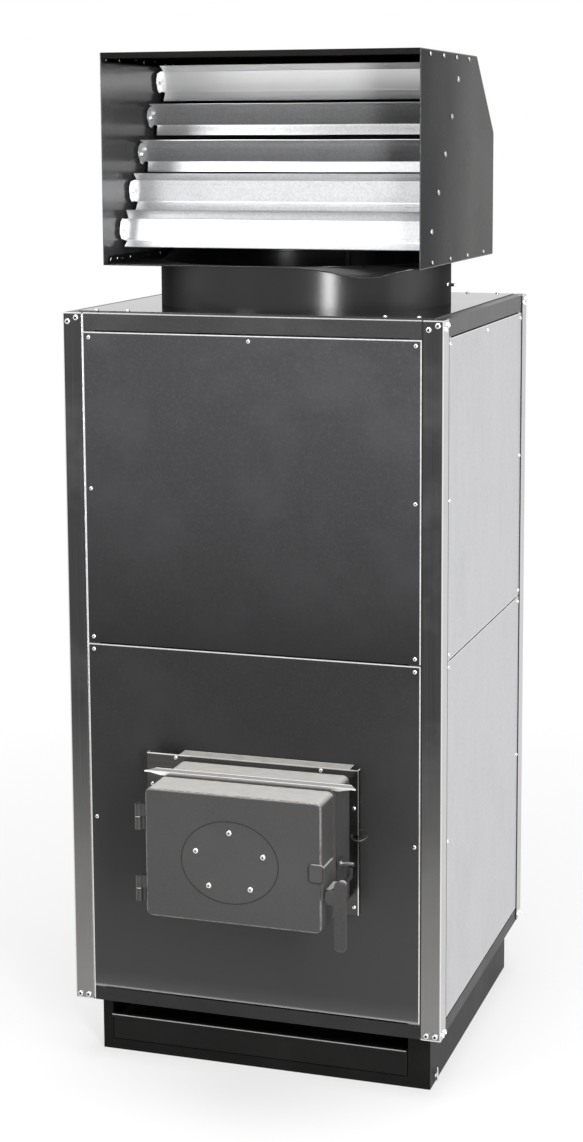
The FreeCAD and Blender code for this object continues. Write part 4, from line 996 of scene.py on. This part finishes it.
@dataclass
class Casing:
    """Plinth, posts, rails, panels and cover."""

    # The upright strips in the joints between posts and panels; the dark ones paint the shadow in the joints.
    gap_reach: Span = (0.3125, 0.2925)
    gap_face: Span = (0.3276, 0.3500)
    gap_plate: Plate = Plate((-0.00135, 0.00135), (0.118, 1.392), 0.00081, 0.0025, 0.00025, arc_steps=3)
    foot_bolt: HexHead = HexHead(0.005, 0.0035, 0.002, 0.002, 0.4)
    foot_bolt_seat: Place = (0.318, -0.243, 0.014)
    foot_pin: HexHead = HexHead(0.0018, 0.024, 0.001, 0.001, 0.4)
    foot_pin_seat: Place = (0.3225, -0.243, 0.004)

    def dress(self) -> None:
        """Give the casing's nodes their finishes."""
        Finish.POST_STEEL.dress(*("corner_post_%s_%s" % (depth, across)
                                  for depth in ("front", "rear") for across in ("left", "right")))
        Finish.FRONT_PANEL.dress("front_upper_panel", edges=Edges.TOP_AND_RIGHT)
        Finish.FRONT_PANEL_LOW.dress("front_lower_panel", edges=Edges.TOP_AND_RIGHT)
        Finish.ZINC_SHEET.dress(*("%s_%s_panel" % (side, level) for side in ("left", "right", "rear")
                                  for level in ("upper", "lower")), "base_plate")
        Finish.RAIL.dress("top_frame", edges=Edges.TOP)
        Finish.RAIL_LOW.dress("bottom_frame")
        Finish.COVER.dress("top_cover")
        Finish.PLINTH.dress("plinth", "drawer_runners")
        Finish.DRAWER.dress("ash_drawer", edges=Edges.TOP)

    def gap_strips(self) -> list[Skin]:
        """Make the strips in the upright joints between posts and panels, thin plates with softened edges;
        the dark ones paint the shadow in the joints.

        Returns:
            Two strips for each of the four sides, the front's left one first.
        """
        plate = self.gap_plate.skin()
        strips = []
        for side in (-1.0, 1.0):
            for end in (-1.0, 1.0):
                front = np.array([TO_RIGHT, UPWARD, (0.0, -side, 0.0)])
                flank = np.array([(0.0, 1.0, 0.0), UPWARD, (-side, 0.0, 0.0)])
                strips.append(plate.placed(front, (end * self.gap_reach[0], side * self.gap_face[0], 0.0)))
                strips.append(plate.placed(flank, (side * self.gap_face[1], end * self.gap_reach[1], 0.0)))
        return strips

    def build(self) -> None:
        """Build the casing's strips, the dark ones a painted shadow in the joints, its screws and bolts, and
        the bolt and pin low on the plinth's right.
        """
        front_left, *others = self.gap_strips()
        make_piece("joint_strip", front_left, Finish.BRIGHT_ZINC, "casing", "post")
        # Dark strips that paint the shadow in the other joints.
        make_piece("joint_seals", Skin.joined(others), Finish.SOOT, "casing", "black_sheet")
        Fasteners("casing_screws", Drive.CROSS).build()
        Fasteners("frame_bolts", Drive.SOCKET).build()
        foot = Skin.joined([self.foot_bolt.skin(self.foot_bolt_seat, TO_RIGHT),
                            self.foot_pin.skin(self.foot_pin_seat, UPWARD)])
        make_piece("plinth_bolt", foot, Finish.BRIGHT_ZINC, "casing", "bright")


@dataclass
class Blade:
    """One louvre blade: a web with a lip bent forward along each side, and a tab at each end."""

    number: int
    tilt: float
    half_length: float = 0.287
    half_web: float = 0.0197
    lip: float = 0.0193
    lip_turn: float = 46.0
    lip_inset: float = 0.008
    wall: float = 0.0012
    bend: float = 0.0025
    web_back: float = 0.008
    bow: float = 0.0004
    bow_pitch: float = 5.0
    bow_shift: float = 1.7
    tab_depth: float = 0.020
    tab_half: float = 0.0187
    tab_chamfer: float = 0.008
    nut: HexHead = HexHead(0.0042, 0.0038, 0.002, 0.001, 0.4)
    first_pivot: Span = (-0.199, 1.537)
    step: Span = (0.0467, 0.0666)
    top_number: int = 4
    rows: int = 33
    arc_steps: int = 6
    lip_steps: int = 3
    smooth_degrees: float = 40.0

    def front_line(self) -> tuple[Array, Array]:
        """Follow the sheet's front from the lower lip's edge to the upper one's.

        The lower lip is straight up to the bend, the bend is an arc whose lean runs evenly from the lip's to
        none, the web is straight, and the upper half is the lower one's mirror image.

        Returns:
            The line's points across the blade (backward, up) and the lean at each.
        """
        turn = math.radians(self.lip_turn)
        reach = self.bend * math.tan(turn / 2)
        corner = np.array([self.web_back, -self.half_web])
        along = np.array([math.sin(turn), math.cos(turn)])
        start = corner - reach * along
        centre = start + self.bend * np.array([-math.cos(turn), math.sin(turn)])
        lean = np.linspace(turn, 0, self.arc_steps)
        arc = centre + self.bend * np.stack([np.cos(lean), -np.sin(lean)], axis=1)
        straight = corner - np.linspace(self.lip, reach, self.lip_steps + 1)[:-1, None] * along
        lower = np.concatenate([straight, arc])
        leans = np.concatenate([np.full(len(straight), turn), lean])
        points = np.concatenate([lower, lower[::-1] * (1, -1)])
        return points, np.concatenate([leans, -leans[::-1]])

    def sheet(self) -> Skin:
        """Make the formed sheet: its section, front line and back line a wall apart, carried along X.

        The lips stop short of the web's ends by an inset that follows the lean, and the web bows by a hair in
        a slow wave along its length.

        Returns:
            The closed sheet, about its pivot and upright.
        """
        front, lean = self.front_line()
        back = front + self.wall * np.stack([np.cos(lean), -np.sin(lean)], axis=1)
        middle = (front + back) / 2
        loop = np.concatenate([front, back[::-1]])
        share = np.abs(np.concatenate([lean, lean[::-1]])) / math.radians(self.lip_turn)
        reach = self.half_length - self.lip_inset * eased(share, *WHOLE)
        run = np.linspace(-1, 1, self.rows)
        run = np.concatenate([run[:1], run, run[-1:]])
        section = np.broadcast_to(loop, (len(run), *loop.shape)).copy()
        section[[0, -1]] = np.concatenate([middle, middle[::-1]])
        wave = self.bow * np.sin(self.bow_pitch * run + self.bow_shift * self.number) * (1 - run ** 2)
        across = run[:, None] * reach
        points = np.stack([across, section[..., 0] + wave[:, None], section[..., 1]], axis=-1)
        return Skin.grid(points, around=True)

    def tabs(self) -> list[Skin]:
        """Make the two end tabs, plates with cut front corners.

        Returns:
            The left tab and the right one.
        """
        back, cut, half = self.web_back, self.tab_chamfer, self.tab_half
        front = back - self.tab_depth
        outline = np.array([(back, -half), (back, half), (front + cut, half), (front, half - cut),
                            (front, cut - half), (front + cut, -half)])
        return side_pair(outline, self.wall, self.half_length)

    def build(self) -> None:
        """Build the blade about its pivot, at its tilt, in the CAD blade's stead, and its pivots' nuts."""
        turn = math.radians(self.tilt)
        sine, cosine = math.sin(turn), math.cos(turn)
        axes = np.array([TO_RIGHT, (0.0, cosine, -sine), (0.0, sine, cosine)])
        pivot = [start + self.number * step for start, step in zip(self.first_pivot, self.step)]
        skin = Skin.joined([self.sheet(), *self.tabs()]).placed(axes, (0.0, *pivot))
        word = "blade_%d" % (self.number + 1)
        # The top blade takes the lighter copy, a painted light.
        finish = Finish.BLADE_HIGH if self.number == self.top_number else Finish.BLADE
        make_piece("%s_formed" % word, skin, finish, word, "blade", ["louvre_%s" % word], self.smooth_degrees)
        inner = self.half_length - self.wall
        nuts = [self.nut.skin((side * inner, *pivot), (-side, 0.0, 0.0)) for side in (-1.0, 1.0)]
        make_piece("%s_pivot_nuts" % word, Skin.joined(nuts), Finish.BRIGHT_ZINC, word, "bright")


@dataclass
class LouvreHead:
    """Collar, louvre head and blades."""

    tilts: tuple[float, ...] = (10.0, -6.0, -30.5, -32.0, -14.0)
    mouth: float = 0.269
    half_width: float = 0.292
    front: float = -0.274
    rear: float = 0.2725
    base: float = 1.475
    wall: float = 0.0015
    floor_steps: int = 180
    floor_rows: int = 9
    sag: float = 0.016
    sag_start: float = 0.03
    sag_width: float = 0.26
    sag_lean: float = 1.5
    sag_deep: Span = (0.10, 0.26)
    sag_share: Span = (0.0, 0.9)
    edge_inset: float = 0.0009
    edge_half: Span = (0.0008, 0.0010)
    edge_taper: float = 80.0
    edge_rows: int = 90
    edge_steps: int = 8
    flange_end: float = 0.258
    flange_top: float = 1.491
    flange_cut: float = 0.006
    rivet: HexHead = HexHead(0.0032, 0.0014, 0.0012, 0.001, 0.3)
    low_rivets: tuple[float, ...] = (-0.246, -0.216, -0.154, -0.008, 0.118, 0.206)
    low_rivet_level: float = 1.484
    high_rivets: tuple[float, ...] = (-0.2535, -0.1937, -0.0758, 0.03)
    high_rivet_level: float = 1.839
    hem_top: float = 1.8485
    hem_deep: Span = (0.0002, 0.0036)
    hem_height: float = 0.0092
    hem_corner: float = 0.0012
    turn_start: float = 0.004
    turn_end: float = 0.12
    turn_foot: float = 1.831
    turn_gap: float = 0.0005
    turn_corner: float = 0.003
    lip_height: float = 0.028
    lip_least: float = 0.0004
    lip_wall: float = 0.002
    lip_ramp: Span = (-0.25, 0.35)
    lip_steps: int = 120
    seam_inset: float = 0.0032
    seam_half: float = 0.004
    seam_drop: float = 0.072
    seam_corner: float = 0.001
    seam_wall: float = 0.0012
    seam_bevel: float = 0.0003
    seam_rivet: HexHead = HexHead(0.0034, 0.0014, 0.001, 0.0006, 0.1)
    seam_rivets: tuple[float, ...] = (-0.045, -0.018, 0.009)
    stud: HexHead = HexHead(0.0034, 0.017, 0.002, 0.004, 0.2)
    stud_seat: Place = (0.271, 0.0, 1.432)

    def dress(self) -> None:
        """Give the head's nodes their finishes."""
        Finish.COLLAR.dress("outlet_collar")
        Finish.HEAD_BLACK.dress("head_side_right")
        Finish.HEAD_LEFT.dress("head_side_left")
        Finish.HOOD.dress("head_hood")

    def droop(self, across: Array) -> Array:
        """Work out how far the floor's front edge hangs: a sine squared over the right half."""
        share = np.clip((across - self.sag_start) / self.sag_width, 0, 1)
        return self.sag * np.sin(math.pi * share ** self.sag_lean) ** 2

    def front_edge(self) -> Skin:
        """Make the floor's cut front edge: a thin rounded strip carried along X, hanging with the floor.

        Returns:
            The closed strip.
        """
        across = np.linspace(-self.half_width, self.half_width, self.edge_rows)[:, None]
        angle = turns(self.edge_steps)
        taper = np.minimum(1.0, self.edge_taper * (self.half_width - np.abs(across)))
        deep = self.front + self.edge_inset + self.edge_half[0] * taper * np.cos(angle)
        level = self.base + self.wall / 2 - self.droop(across) + self.edge_half[1] * taper * np.sin(angle)
        return Skin.grid(np.stack([np.broadcast_to(across, deep.shape), deep, level], axis=-1), around=True)

    def base_plate(self) -> Skin:
        """Make the head's floor.

        It is a plate from the round mouth out to the rectangle, as a grid of angle by distance, closed
        through its thickness. Its front right part hangs by the sag: a sine squared across the front, eased
        in from the middle to the front edge and from the mouth outward.

        Returns:
            The closed plate.
        """
        corners = np.arctan2([self.front, self.front, self.rear, self.rear],
                             [self.half_width, -self.half_width, -self.half_width, self.half_width])
        angle = np.union1d(np.linspace(-math.pi, math.pi, self.floor_steps + 1)[:-1], corners)
        side, reach = np.cos(angle), np.sin(angle)
        depth = np.where(reach < 0, -self.front, self.rear)
        least = np.finfo(float).eps
        rim = np.minimum(self.half_width / np.maximum(np.abs(side), least),
                         depth / np.maximum(np.abs(reach), least))
        share = np.linspace(0, 1, self.floor_rows)
        share = np.concatenate([share, share[::-1]])[:, None]
        radius = self.mouth + (rim - self.mouth) * share
        across, deep = radius * side, radius * reach
        hang = self.droop(across) * eased(-deep, *self.sag_deep) * eased(share, *self.sag_share)
        level = self.base + np.repeat([self.wall, 0.0], self.floor_rows)[:, None] - hang
        return Skin.grid(np.stack([across, deep, level], axis=-1), around=True, along=True)

    def flanges(self) -> list[Skin]:
        """Make the two upturned sides of the head's floor, thin plates with cut upper corners.

        Returns:
            The left side and the right one.
        """
        end, foot, top, cut = self.flange_end, self.base + self.wall, self.flange_top, self.flange_cut
        outline = np.array([(-end, foot), (end, foot), (end, top - cut), (end - cut, top), (cut - end, top),
                            (-end, top - cut)])
        return side_pair(outline, self.wall, self.half_width)

    def rivets(self) -> list[Skin]:
        """Make the rivets of the left side's two flanges, a row of small heads along each.

        Returns:
            The heads.
        """
        rows = ((self.low_rivet_level, self.low_rivets), (self.high_rivet_level, self.high_rivets))
        inner = self.wall - self.half_width
        seats = [(inner, place, level) for level, places in rows for place in places]
        return [self.rivet.skin(seat, TO_RIGHT) for seat in seats]

    def hood_edge(self) -> list[Skin]:
        """Make the hood's front hem and its turned-down sides.

        The hem is a sheet edge folded back under itself, its rounded section carried along X; the sides are
        thin plates inside the head's walls.

        Returns:
            The hem, the left side and the right one.
        """
        hem = Plate((self.front + self.hem_deep[0], self.front + self.hem_deep[1]),
                    (self.hem_top - self.hem_height, self.hem_top), self.hem_corner, self.half_width * 2,
                    arc_steps=5)
        side = rounded_outline((self.front + self.turn_start, self.turn_end),
                               (self.turn_foot, self.hem_top - self.turn_gap), self.turn_corner, arc_steps=4)
        return [hem.skin().placed(BACK_AND_UP, (-self.half_width, 0.0, 0.0)),
                *side_pair(side, self.wall, self.half_width)]

    def air_lip(self) -> Skin:
        """Make the collar's lip inside the head.

        A thin upright wall on the mouth's edge whose top rises, eased, from nothing at the front to its full
        height at the rear: angle by the four corners of the wall's section.

        Returns:
            The closed ring.
        """
        angle = turns(self.lip_steps)
        low = np.full(self.lip_steps, self.base + self.wall)
        high = low + self.lip_height * eased(np.sin(angle), *self.lip_ramp) + self.lip_least
        inner = self.mouth - self.lip_wall
        radius = np.array([inner, self.mouth, self.mouth, inner])[:, None]
        points = turned(radius, np.stack([low, low, high, high]), angle)
        return Skin.grid(points, around=True, along=True)

    def seam(self) -> list[Skin]:
        """Make the collar's lap at the rear, a strip down its inside with rivets.

        Returns:
            The strip and the rivets.
        """
        deep = self.mouth - self.seam_inset
        up = (self.base - self.seam_drop, self.base + self.lip_height)
        strip = Plate((-self.seam_half, self.seam_half), up, self.seam_corner, self.seam_wall,
                      self.seam_bevel, arc_steps=3)
        heads = [self.seam_rivet.skin((0.0, deep, self.base + level), FORWARD) for level in self.seam_rivets]
        return [strip.skin().placed(ACROSS_AND_UP, (0.0, deep, 0.0)), *heads]

    def build(self) -> None:
        """Build the head's floor, the collar's trim, the hood's edge, the blades and the screws."""
        floor = Skin.joined([self.base_plate(), *self.flanges()])
        make_piece("head_floor", floor, Finish.HOOD, "casing", "black_sheet", ["head_base"])
        make_piece("head_floor_edge", self.front_edge(), Finish.ZINC_SHEET, "casing", "black_sheet")
        make_piece("head_floor_rivets", Skin.joined(self.rivets()), Finish.BRIGHT_ZINC, "casing", "bright")
        make_piece("collar_lip", self.air_lip(), Finish.COLLAR, "casing", "black_sheet")
        make_piece("collar_seam", Skin.joined(self.seam()), Finish.HEAD_LEFT, "casing", "black_sheet")
        make_piece("hood_hem", Skin.joined(self.hood_edge()), Finish.PLINTH, "casing", "black_sheet")
        stud = self.stud.skin(self.stud_seat, TO_RIGHT)
        make_piece("collar_stud", stud, Finish.BRIGHT_ZINC, "casing", "bright")
        for number, tilt in enumerate(self.tilts):
            Blade(number, tilt).build()
        Fasteners("head_screws", Drive.CROSS, Finish.GREY_ZINC).build()
        Fasteners("louvre_pivots", Drive.SPANNER, Finish.GREY_ZINC).build()
        Fasteners("collar_bolts", Drive.SPANNER).build()


@dataclass
class FireFront:
    """Neck, flange, visor, door, hinges and latch."""

    door_across: Span = (-0.126, 0.192)
    door_up: Span = (0.369, 0.597)
    door_front: float = -0.5245
    door_back: float = -0.4525
    door_corner: float = 0.012
    # The radius of the dark bead along the door's rear edge, a painted shadow in the gap to the neck.
    hem: float = 0.0012
    rear_shadow_inset: float = 0.00072
    disc_centre: Span = (0.028, 0.478)
    disc_half: Span = (0.087, 0.072)
    disc_steps: int = 120
    groove: float = 0.0009
    lug_across: Span = (0.171, 0.1955)
    lug_up: Span = (0.460, 0.4885)
    lug_front: float = -0.5283
    lug_corner: float = 0.0055
    bar: Plate = Plate((0.217, 0.239), (0.346, 0.468), 0.009, 0.005, 0.0013)
    bar_front: float = -0.5355
    hub: Plate = Plate((0.201, 0.239), (0.426, 0.452), 0.008, 0.0044, 0.0011)
    hub_front: float = -0.5352
    finger: Plate = Plate((0.207, 0.217), (0.439, 0.456), 0.002, 0.008, 0.0008)
    finger_front: float = -0.431
    shaft_centre: Span = (0.212, 0.439)
    shaft_radius: float = 0.005
    shaft_deep: Span = (-0.5349, -0.4234)
    shaft_bevel: float = 0.0006
    shaft_steps: int = 24

    def dress(self) -> None:
        """Give the fire front's nodes their finishes."""
        Finish.DOOR.dress("fire_door")
        Finish.STOVE_PAINT.dress("door_disc", "fire_neck", "latch_bracket")
        Finish.FLANGE.dress("neck_flange", edges=Edges.TOP_AND_RIGHT)
        Finish.VISOR.dress("neck_visor")
        Finish.IRON.dress("door_hinge_knuckles", "neck_hinge_arms", "flange_loop")
        Finish.GREY_ZINC.dress("latch_keeper")
        Finish.FIREBOX.dress("door_liner")
        Finish.FIBRE.dress("door_insulation")
        Finish.SOOT.dress("door_gasket")
        Finish.BRIGHT_ZINC.dress("hinge_pins")

    @staticmethod
    def bead(path: Array, level: float, radius: float, closed: bool = True, steps: int = 8) -> Skin:
        """Lay a round bead along a path in an upright plane that faces the front.

        A circle is carried along the path, square to it; on an open path it shrinks to a point at both ends.

        Args:
            path: An array of n by 2 points, across and up.
            level: How far forward or back the path lies.
            radius: The bead's radius.
            closed: Whether the path's end meets its start.
            steps: Points round the bead.

        Returns:
            The closed bead.
        """
        run = np.roll(path, -1, axis=0) - np.roll(path, 1, axis=0) if closed else np.gradient(path, axis=0)
        outward = np.stack([run[:, 1], -run[:, 0]], axis=1) / np.linalg.norm(run, axis=1, keepdims=True)
        width = np.full((len(path), 1), radius)
        if not closed:
            width[[0, -1]] = 0.0
        angle = turns(steps)
        flat = path[:, None, :] + (width * np.cos(angle))[..., None] * outward[:, None, :]
        deep = level + width * np.sin(angle)
        return Skin.grid(np.stack([flat[..., 0], deep, flat[..., 1]], axis=-1), around=True, along=closed)

    def lug_line(self) -> Array:
        """Follow the lug's edge down its right side, round its foot by two quarter circles and up its left.

        Returns:
            The line's points, across and up.
        """
        (left, right), (foot, top) = self.lug_across, self.lug_up
        whole = rounded_outline(self.lug_across, (foot, top * 2 - foot), self.lug_corner)
        corners = whole[whole[:, 1] <= foot + self.lug_corner + MERGE_DISTANCE][::-1]
        below = top - self.groove * 2
        return np.concatenate([[(right, top), (right, below)], corners, [(left, below), (left, top)]])

    def disc_line(self) -> Array:
        """Follow the disc's edge, an ellipse that lies half a groove outside it."""
        half = np.array(self.disc_half) + self.groove / 2
        return np.array(self.disc_centre) + circle(self.disc_steps) * half

    def rear_line(self) -> Array:
        """Follow the door's rear edge, a rectangle with rounded corners that lies a little inside it."""
        across, up = ((low + self.rear_shadow_inset, high - self.rear_shadow_inset)
                      for low, high in (self.door_across, self.door_up))
        return rounded_outline(across, up, self.door_corner)

    def handle(self) -> Skin:
        """Make the latch handle: a bar and a hub with softened edges, the shaft behind them and its finger.

        Returns:
            The handle's closed surfaces.
        """
        front, rear = self.shaft_deep
        ring = circle(self.shaft_steps) * self.shaft_radius + np.array(self.shaft_centre)
        shaft = slab(ring, rear - front, self.shaft_bevel)
        places = ((self.bar.skin(), self.bar_front), (self.hub.skin(), self.hub_front), (shaft, front),
                  (self.finger.skin(), self.finger_front))
        return Skin.joined([piece.placed(ACROSS_AND_UP, (0.0, level, 0.0)) for piece, level in places])

    def build(self) -> None:
        """Build the latch handle, the dark lines that paint the shadow in the gaps round the lug, round the
        disc and along the door's rear, and the screws.
        """
        make_piece("latch_bar", self.handle(), Finish.IRON, "latch", "black_iron", ["latch_handle"])
        # Dark beads that paint the shadow in the gaps round the lug and the disc and behind the door's rear
        # edge.
        lines = {"lug_gap": self.bead(self.lug_line(), self.lug_front, self.groove, closed=False),
                 "disc_groove": self.bead(self.disc_line(), self.door_front, self.groove),
                 "door_hem": self.bead(self.rear_line(), self.door_back, self.hem)}
        for name, bead in lines.items():
            make_piece(name, bead, Finish.SOOT, "door", "door")
        Fasteners("flange_screws", Drive.CROSS).build()
        Fasteners("disc_screws", Drive.CROSS, body="door").build()


class Firebox:
    """Drum, lining, grate and flue inside, and the fan at the rear."""

    def dress(self) -> None:
        """Give the inner nodes and the fan their finishes."""
        Finish.FIREBOX.dress("combustion_chamber", "chamber_lid", "grate", "flue_outlet")
        Finish.FIREBRICK.dress("firebrick_lining")
        Finish.FAN_BLACK.dress("fan_impeller", "fan_motor")
        Finish.IRON.dress("fan_guard")
        Finish.ZINC_SHEET.dress("fan_ring")


@dataclass(frozen=True)
class Lamp:
    """A soft box: its place, what it points at, its width and height, and its power in watts."""

    name: str
    place: Place
    target: Place
    size: Span
    power: float

    def hang(self) -> None:
        """Hang the soft box."""
        data = bpy.data.lights.new(self.name, "AREA")
        data.shape = "RECTANGLE"
        data.size, data.size_y = self.size
        data.energy = self.power
        lamp = bpy.data.objects.new(self.name, data)
        lamp.location = self.place
        aim = Vector(self.target) - Vector(self.place)
        lamp.rotation_euler = aim.to_track_quat("-Z", "Y").to_euler()
        bpy.context.scene.collection.objects.link(lamp)


@dataclass
class Studio:
    """Camera, floor and lights."""

    image: tuple[int, int] = (583, 1142)
    focal_pixels: float = 2130.4
    centre_pixel: Span = (331.8, 442.4)
    azimuth: float = 17.318
    elevation: float = 8.092
    roll: float = -0.153
    stand: Place = (1.2346, -3.8028, 1.6968)
    sensor: float = 36.0
    farthest: float = 200.0
    lamps: tuple[Lamp, ...] = (Lamp("key_strip", (2.0, -2.9, 1.4), (0.0, 0.0, 1.0), (0.5, 2.3), 100.0),
                               Lamp("left_box", (-1.7, -3.1, 2.7), (0.0, 0.0, 1.3), (1.0, 2.2), 24.0),
                               Lamp("overhead", (0.2, -0.6, 3.7), (0.1, -0.2, 0.5), (2.6, 2.2), 100.0),
                               Lamp("right_wall", (3.4, 0.6, 1.2), (0.0, 0.0, 1.0), (2.0, 2.4), 8.0))
    surround: Span = (0.36, 1.0)
    floor_colour: Colour = (0.9, 0.9, 0.9)
    floor_glow: Span = (0.66, 1.0)
    floor_clear: Span = (0.55, 2.2)
    floor_reach: float = 60.0
    floor_level: float = -0.0006

    def place_camera(self) -> None:
        """Set the camera where the photograph was taken, with the shift that its framing needs."""
        across, up = math.radians(self.azimuth), math.radians(self.elevation)
        back = np.array([math.sin(across) * math.cos(up), -math.cos(across) * math.cos(up), math.sin(up)])
        right, above, _ = basis(back)
        turn = math.radians(self.roll)
        first = math.cos(turn) * right + math.sin(turn) * above
        second = math.cos(turn) * above - math.sin(turn) * right
        matrix = Matrix.Identity(4)
        for column, axis in enumerate((first, second, back, self.stand)):
            matrix.col[column][:3] = axis
        lens = bpy.data.cameras.new("camera")
        longest = max(self.image)
        lens.sensor_width = self.sensor
        lens.lens = self.focal_pixels / longest * self.sensor
        lens.shift_x = (self.image[0] / 2 - self.centre_pixel[0]) / longest
        lens.shift_y = (self.centre_pixel[1] - self.image[1] / 2) / longest
        lens.clip_end = self.farthest
        camera = bpy.data.objects.new("camera", lens)
        camera.matrix_world = matrix
        bpy.context.scene.collection.objects.link(camera)
        bpy.context.scene.camera = camera

    def light(self) -> None:
        """Hang the lamps and set a white surround that mirrors and glass show too."""
        for lamp in self.lamps:
            lamp.hang()
        world = bpy.data.worlds.new("surround")
        bpy.context.scene.world = world
        graph = Graph(world)
        strength = graph.spread(graph.seen(), WHOLE, self.surround)
        graph.fill(graph.tree.nodes["Background"], Color=(1.0, 1.0, 1.0, 1.0), Strength=strength)

    def floor_material(self) -> bpy.types.Material:
        """Make the floor's finish: pale, with a share of plain white that grows with the distance.

        Returns:
            The material.
        """
        graph = Surface("pale_floor")
        graph.put(Base_Color=(*self.floor_colour, 1.0), Roughness=1.0, Specular_IOR_Level=0.0)
        squares = [graph.calc("MULTIPLY", part, part) for part in graph.place[:2]]
        distance = graph.calc("SQRT", graph.calc("ADD", *squares))
        share = graph.spread(distance, self.floor_clear, self.floor_glow)
        glow = graph.add("ShaderNodeEmission")
        blend = graph.add("ShaderNodeMixShader", Fac=graph.calc("MULTIPLY", share, graph.seen()))
        graph.join(blend.inputs[1], graph.shader.outputs[0])
        graph.join(blend.inputs[2], glow.outputs[0])
        graph.fill(graph.tree.nodes["Material Output"], Surface=blend.outputs[0])
        return graph.material

    def lay_floor(self) -> None:
        """Lay a wide pale floor that keeps the heater's soft shadow."""
        ends = np.array([-self.floor_reach, self.floor_reach])
        level = np.full((2, 2), self.floor_level)
        skin = Skin.grid(np.stack([*np.meshgrid(ends, ends, indexing="ij"), level], axis=-1))
        mesh = bpy.data.meshes.new("floor")
        mesh.from_pydata(skin.points.tolist(), [], skin.faces.tolist())
        mesh.materials.append(self.floor_material())
        floor = bpy.data.objects.new("floor", mesh)
        bpy.context.scene.collection.objects.link(floor)

    def build(self) -> None:
        """Set the whole studio."""
        bpy.context.scene.view_settings.view_transform = "Standard"
        self.place_camera()
        self.light()
        self.lay_floor()


def main() -> None:
    """Dress and build the heater's assemblies in order, and set the studio."""
    logging.basicConfig(level=logging.INFO, format="%(message)s")
    for assembly in (Casing(), LouvreHead(), FireFront()):
        assembly.dress()
        assembly.build()
    Firebox().dress()
    Studio().build()


if __name__ == "__main__":
    main()
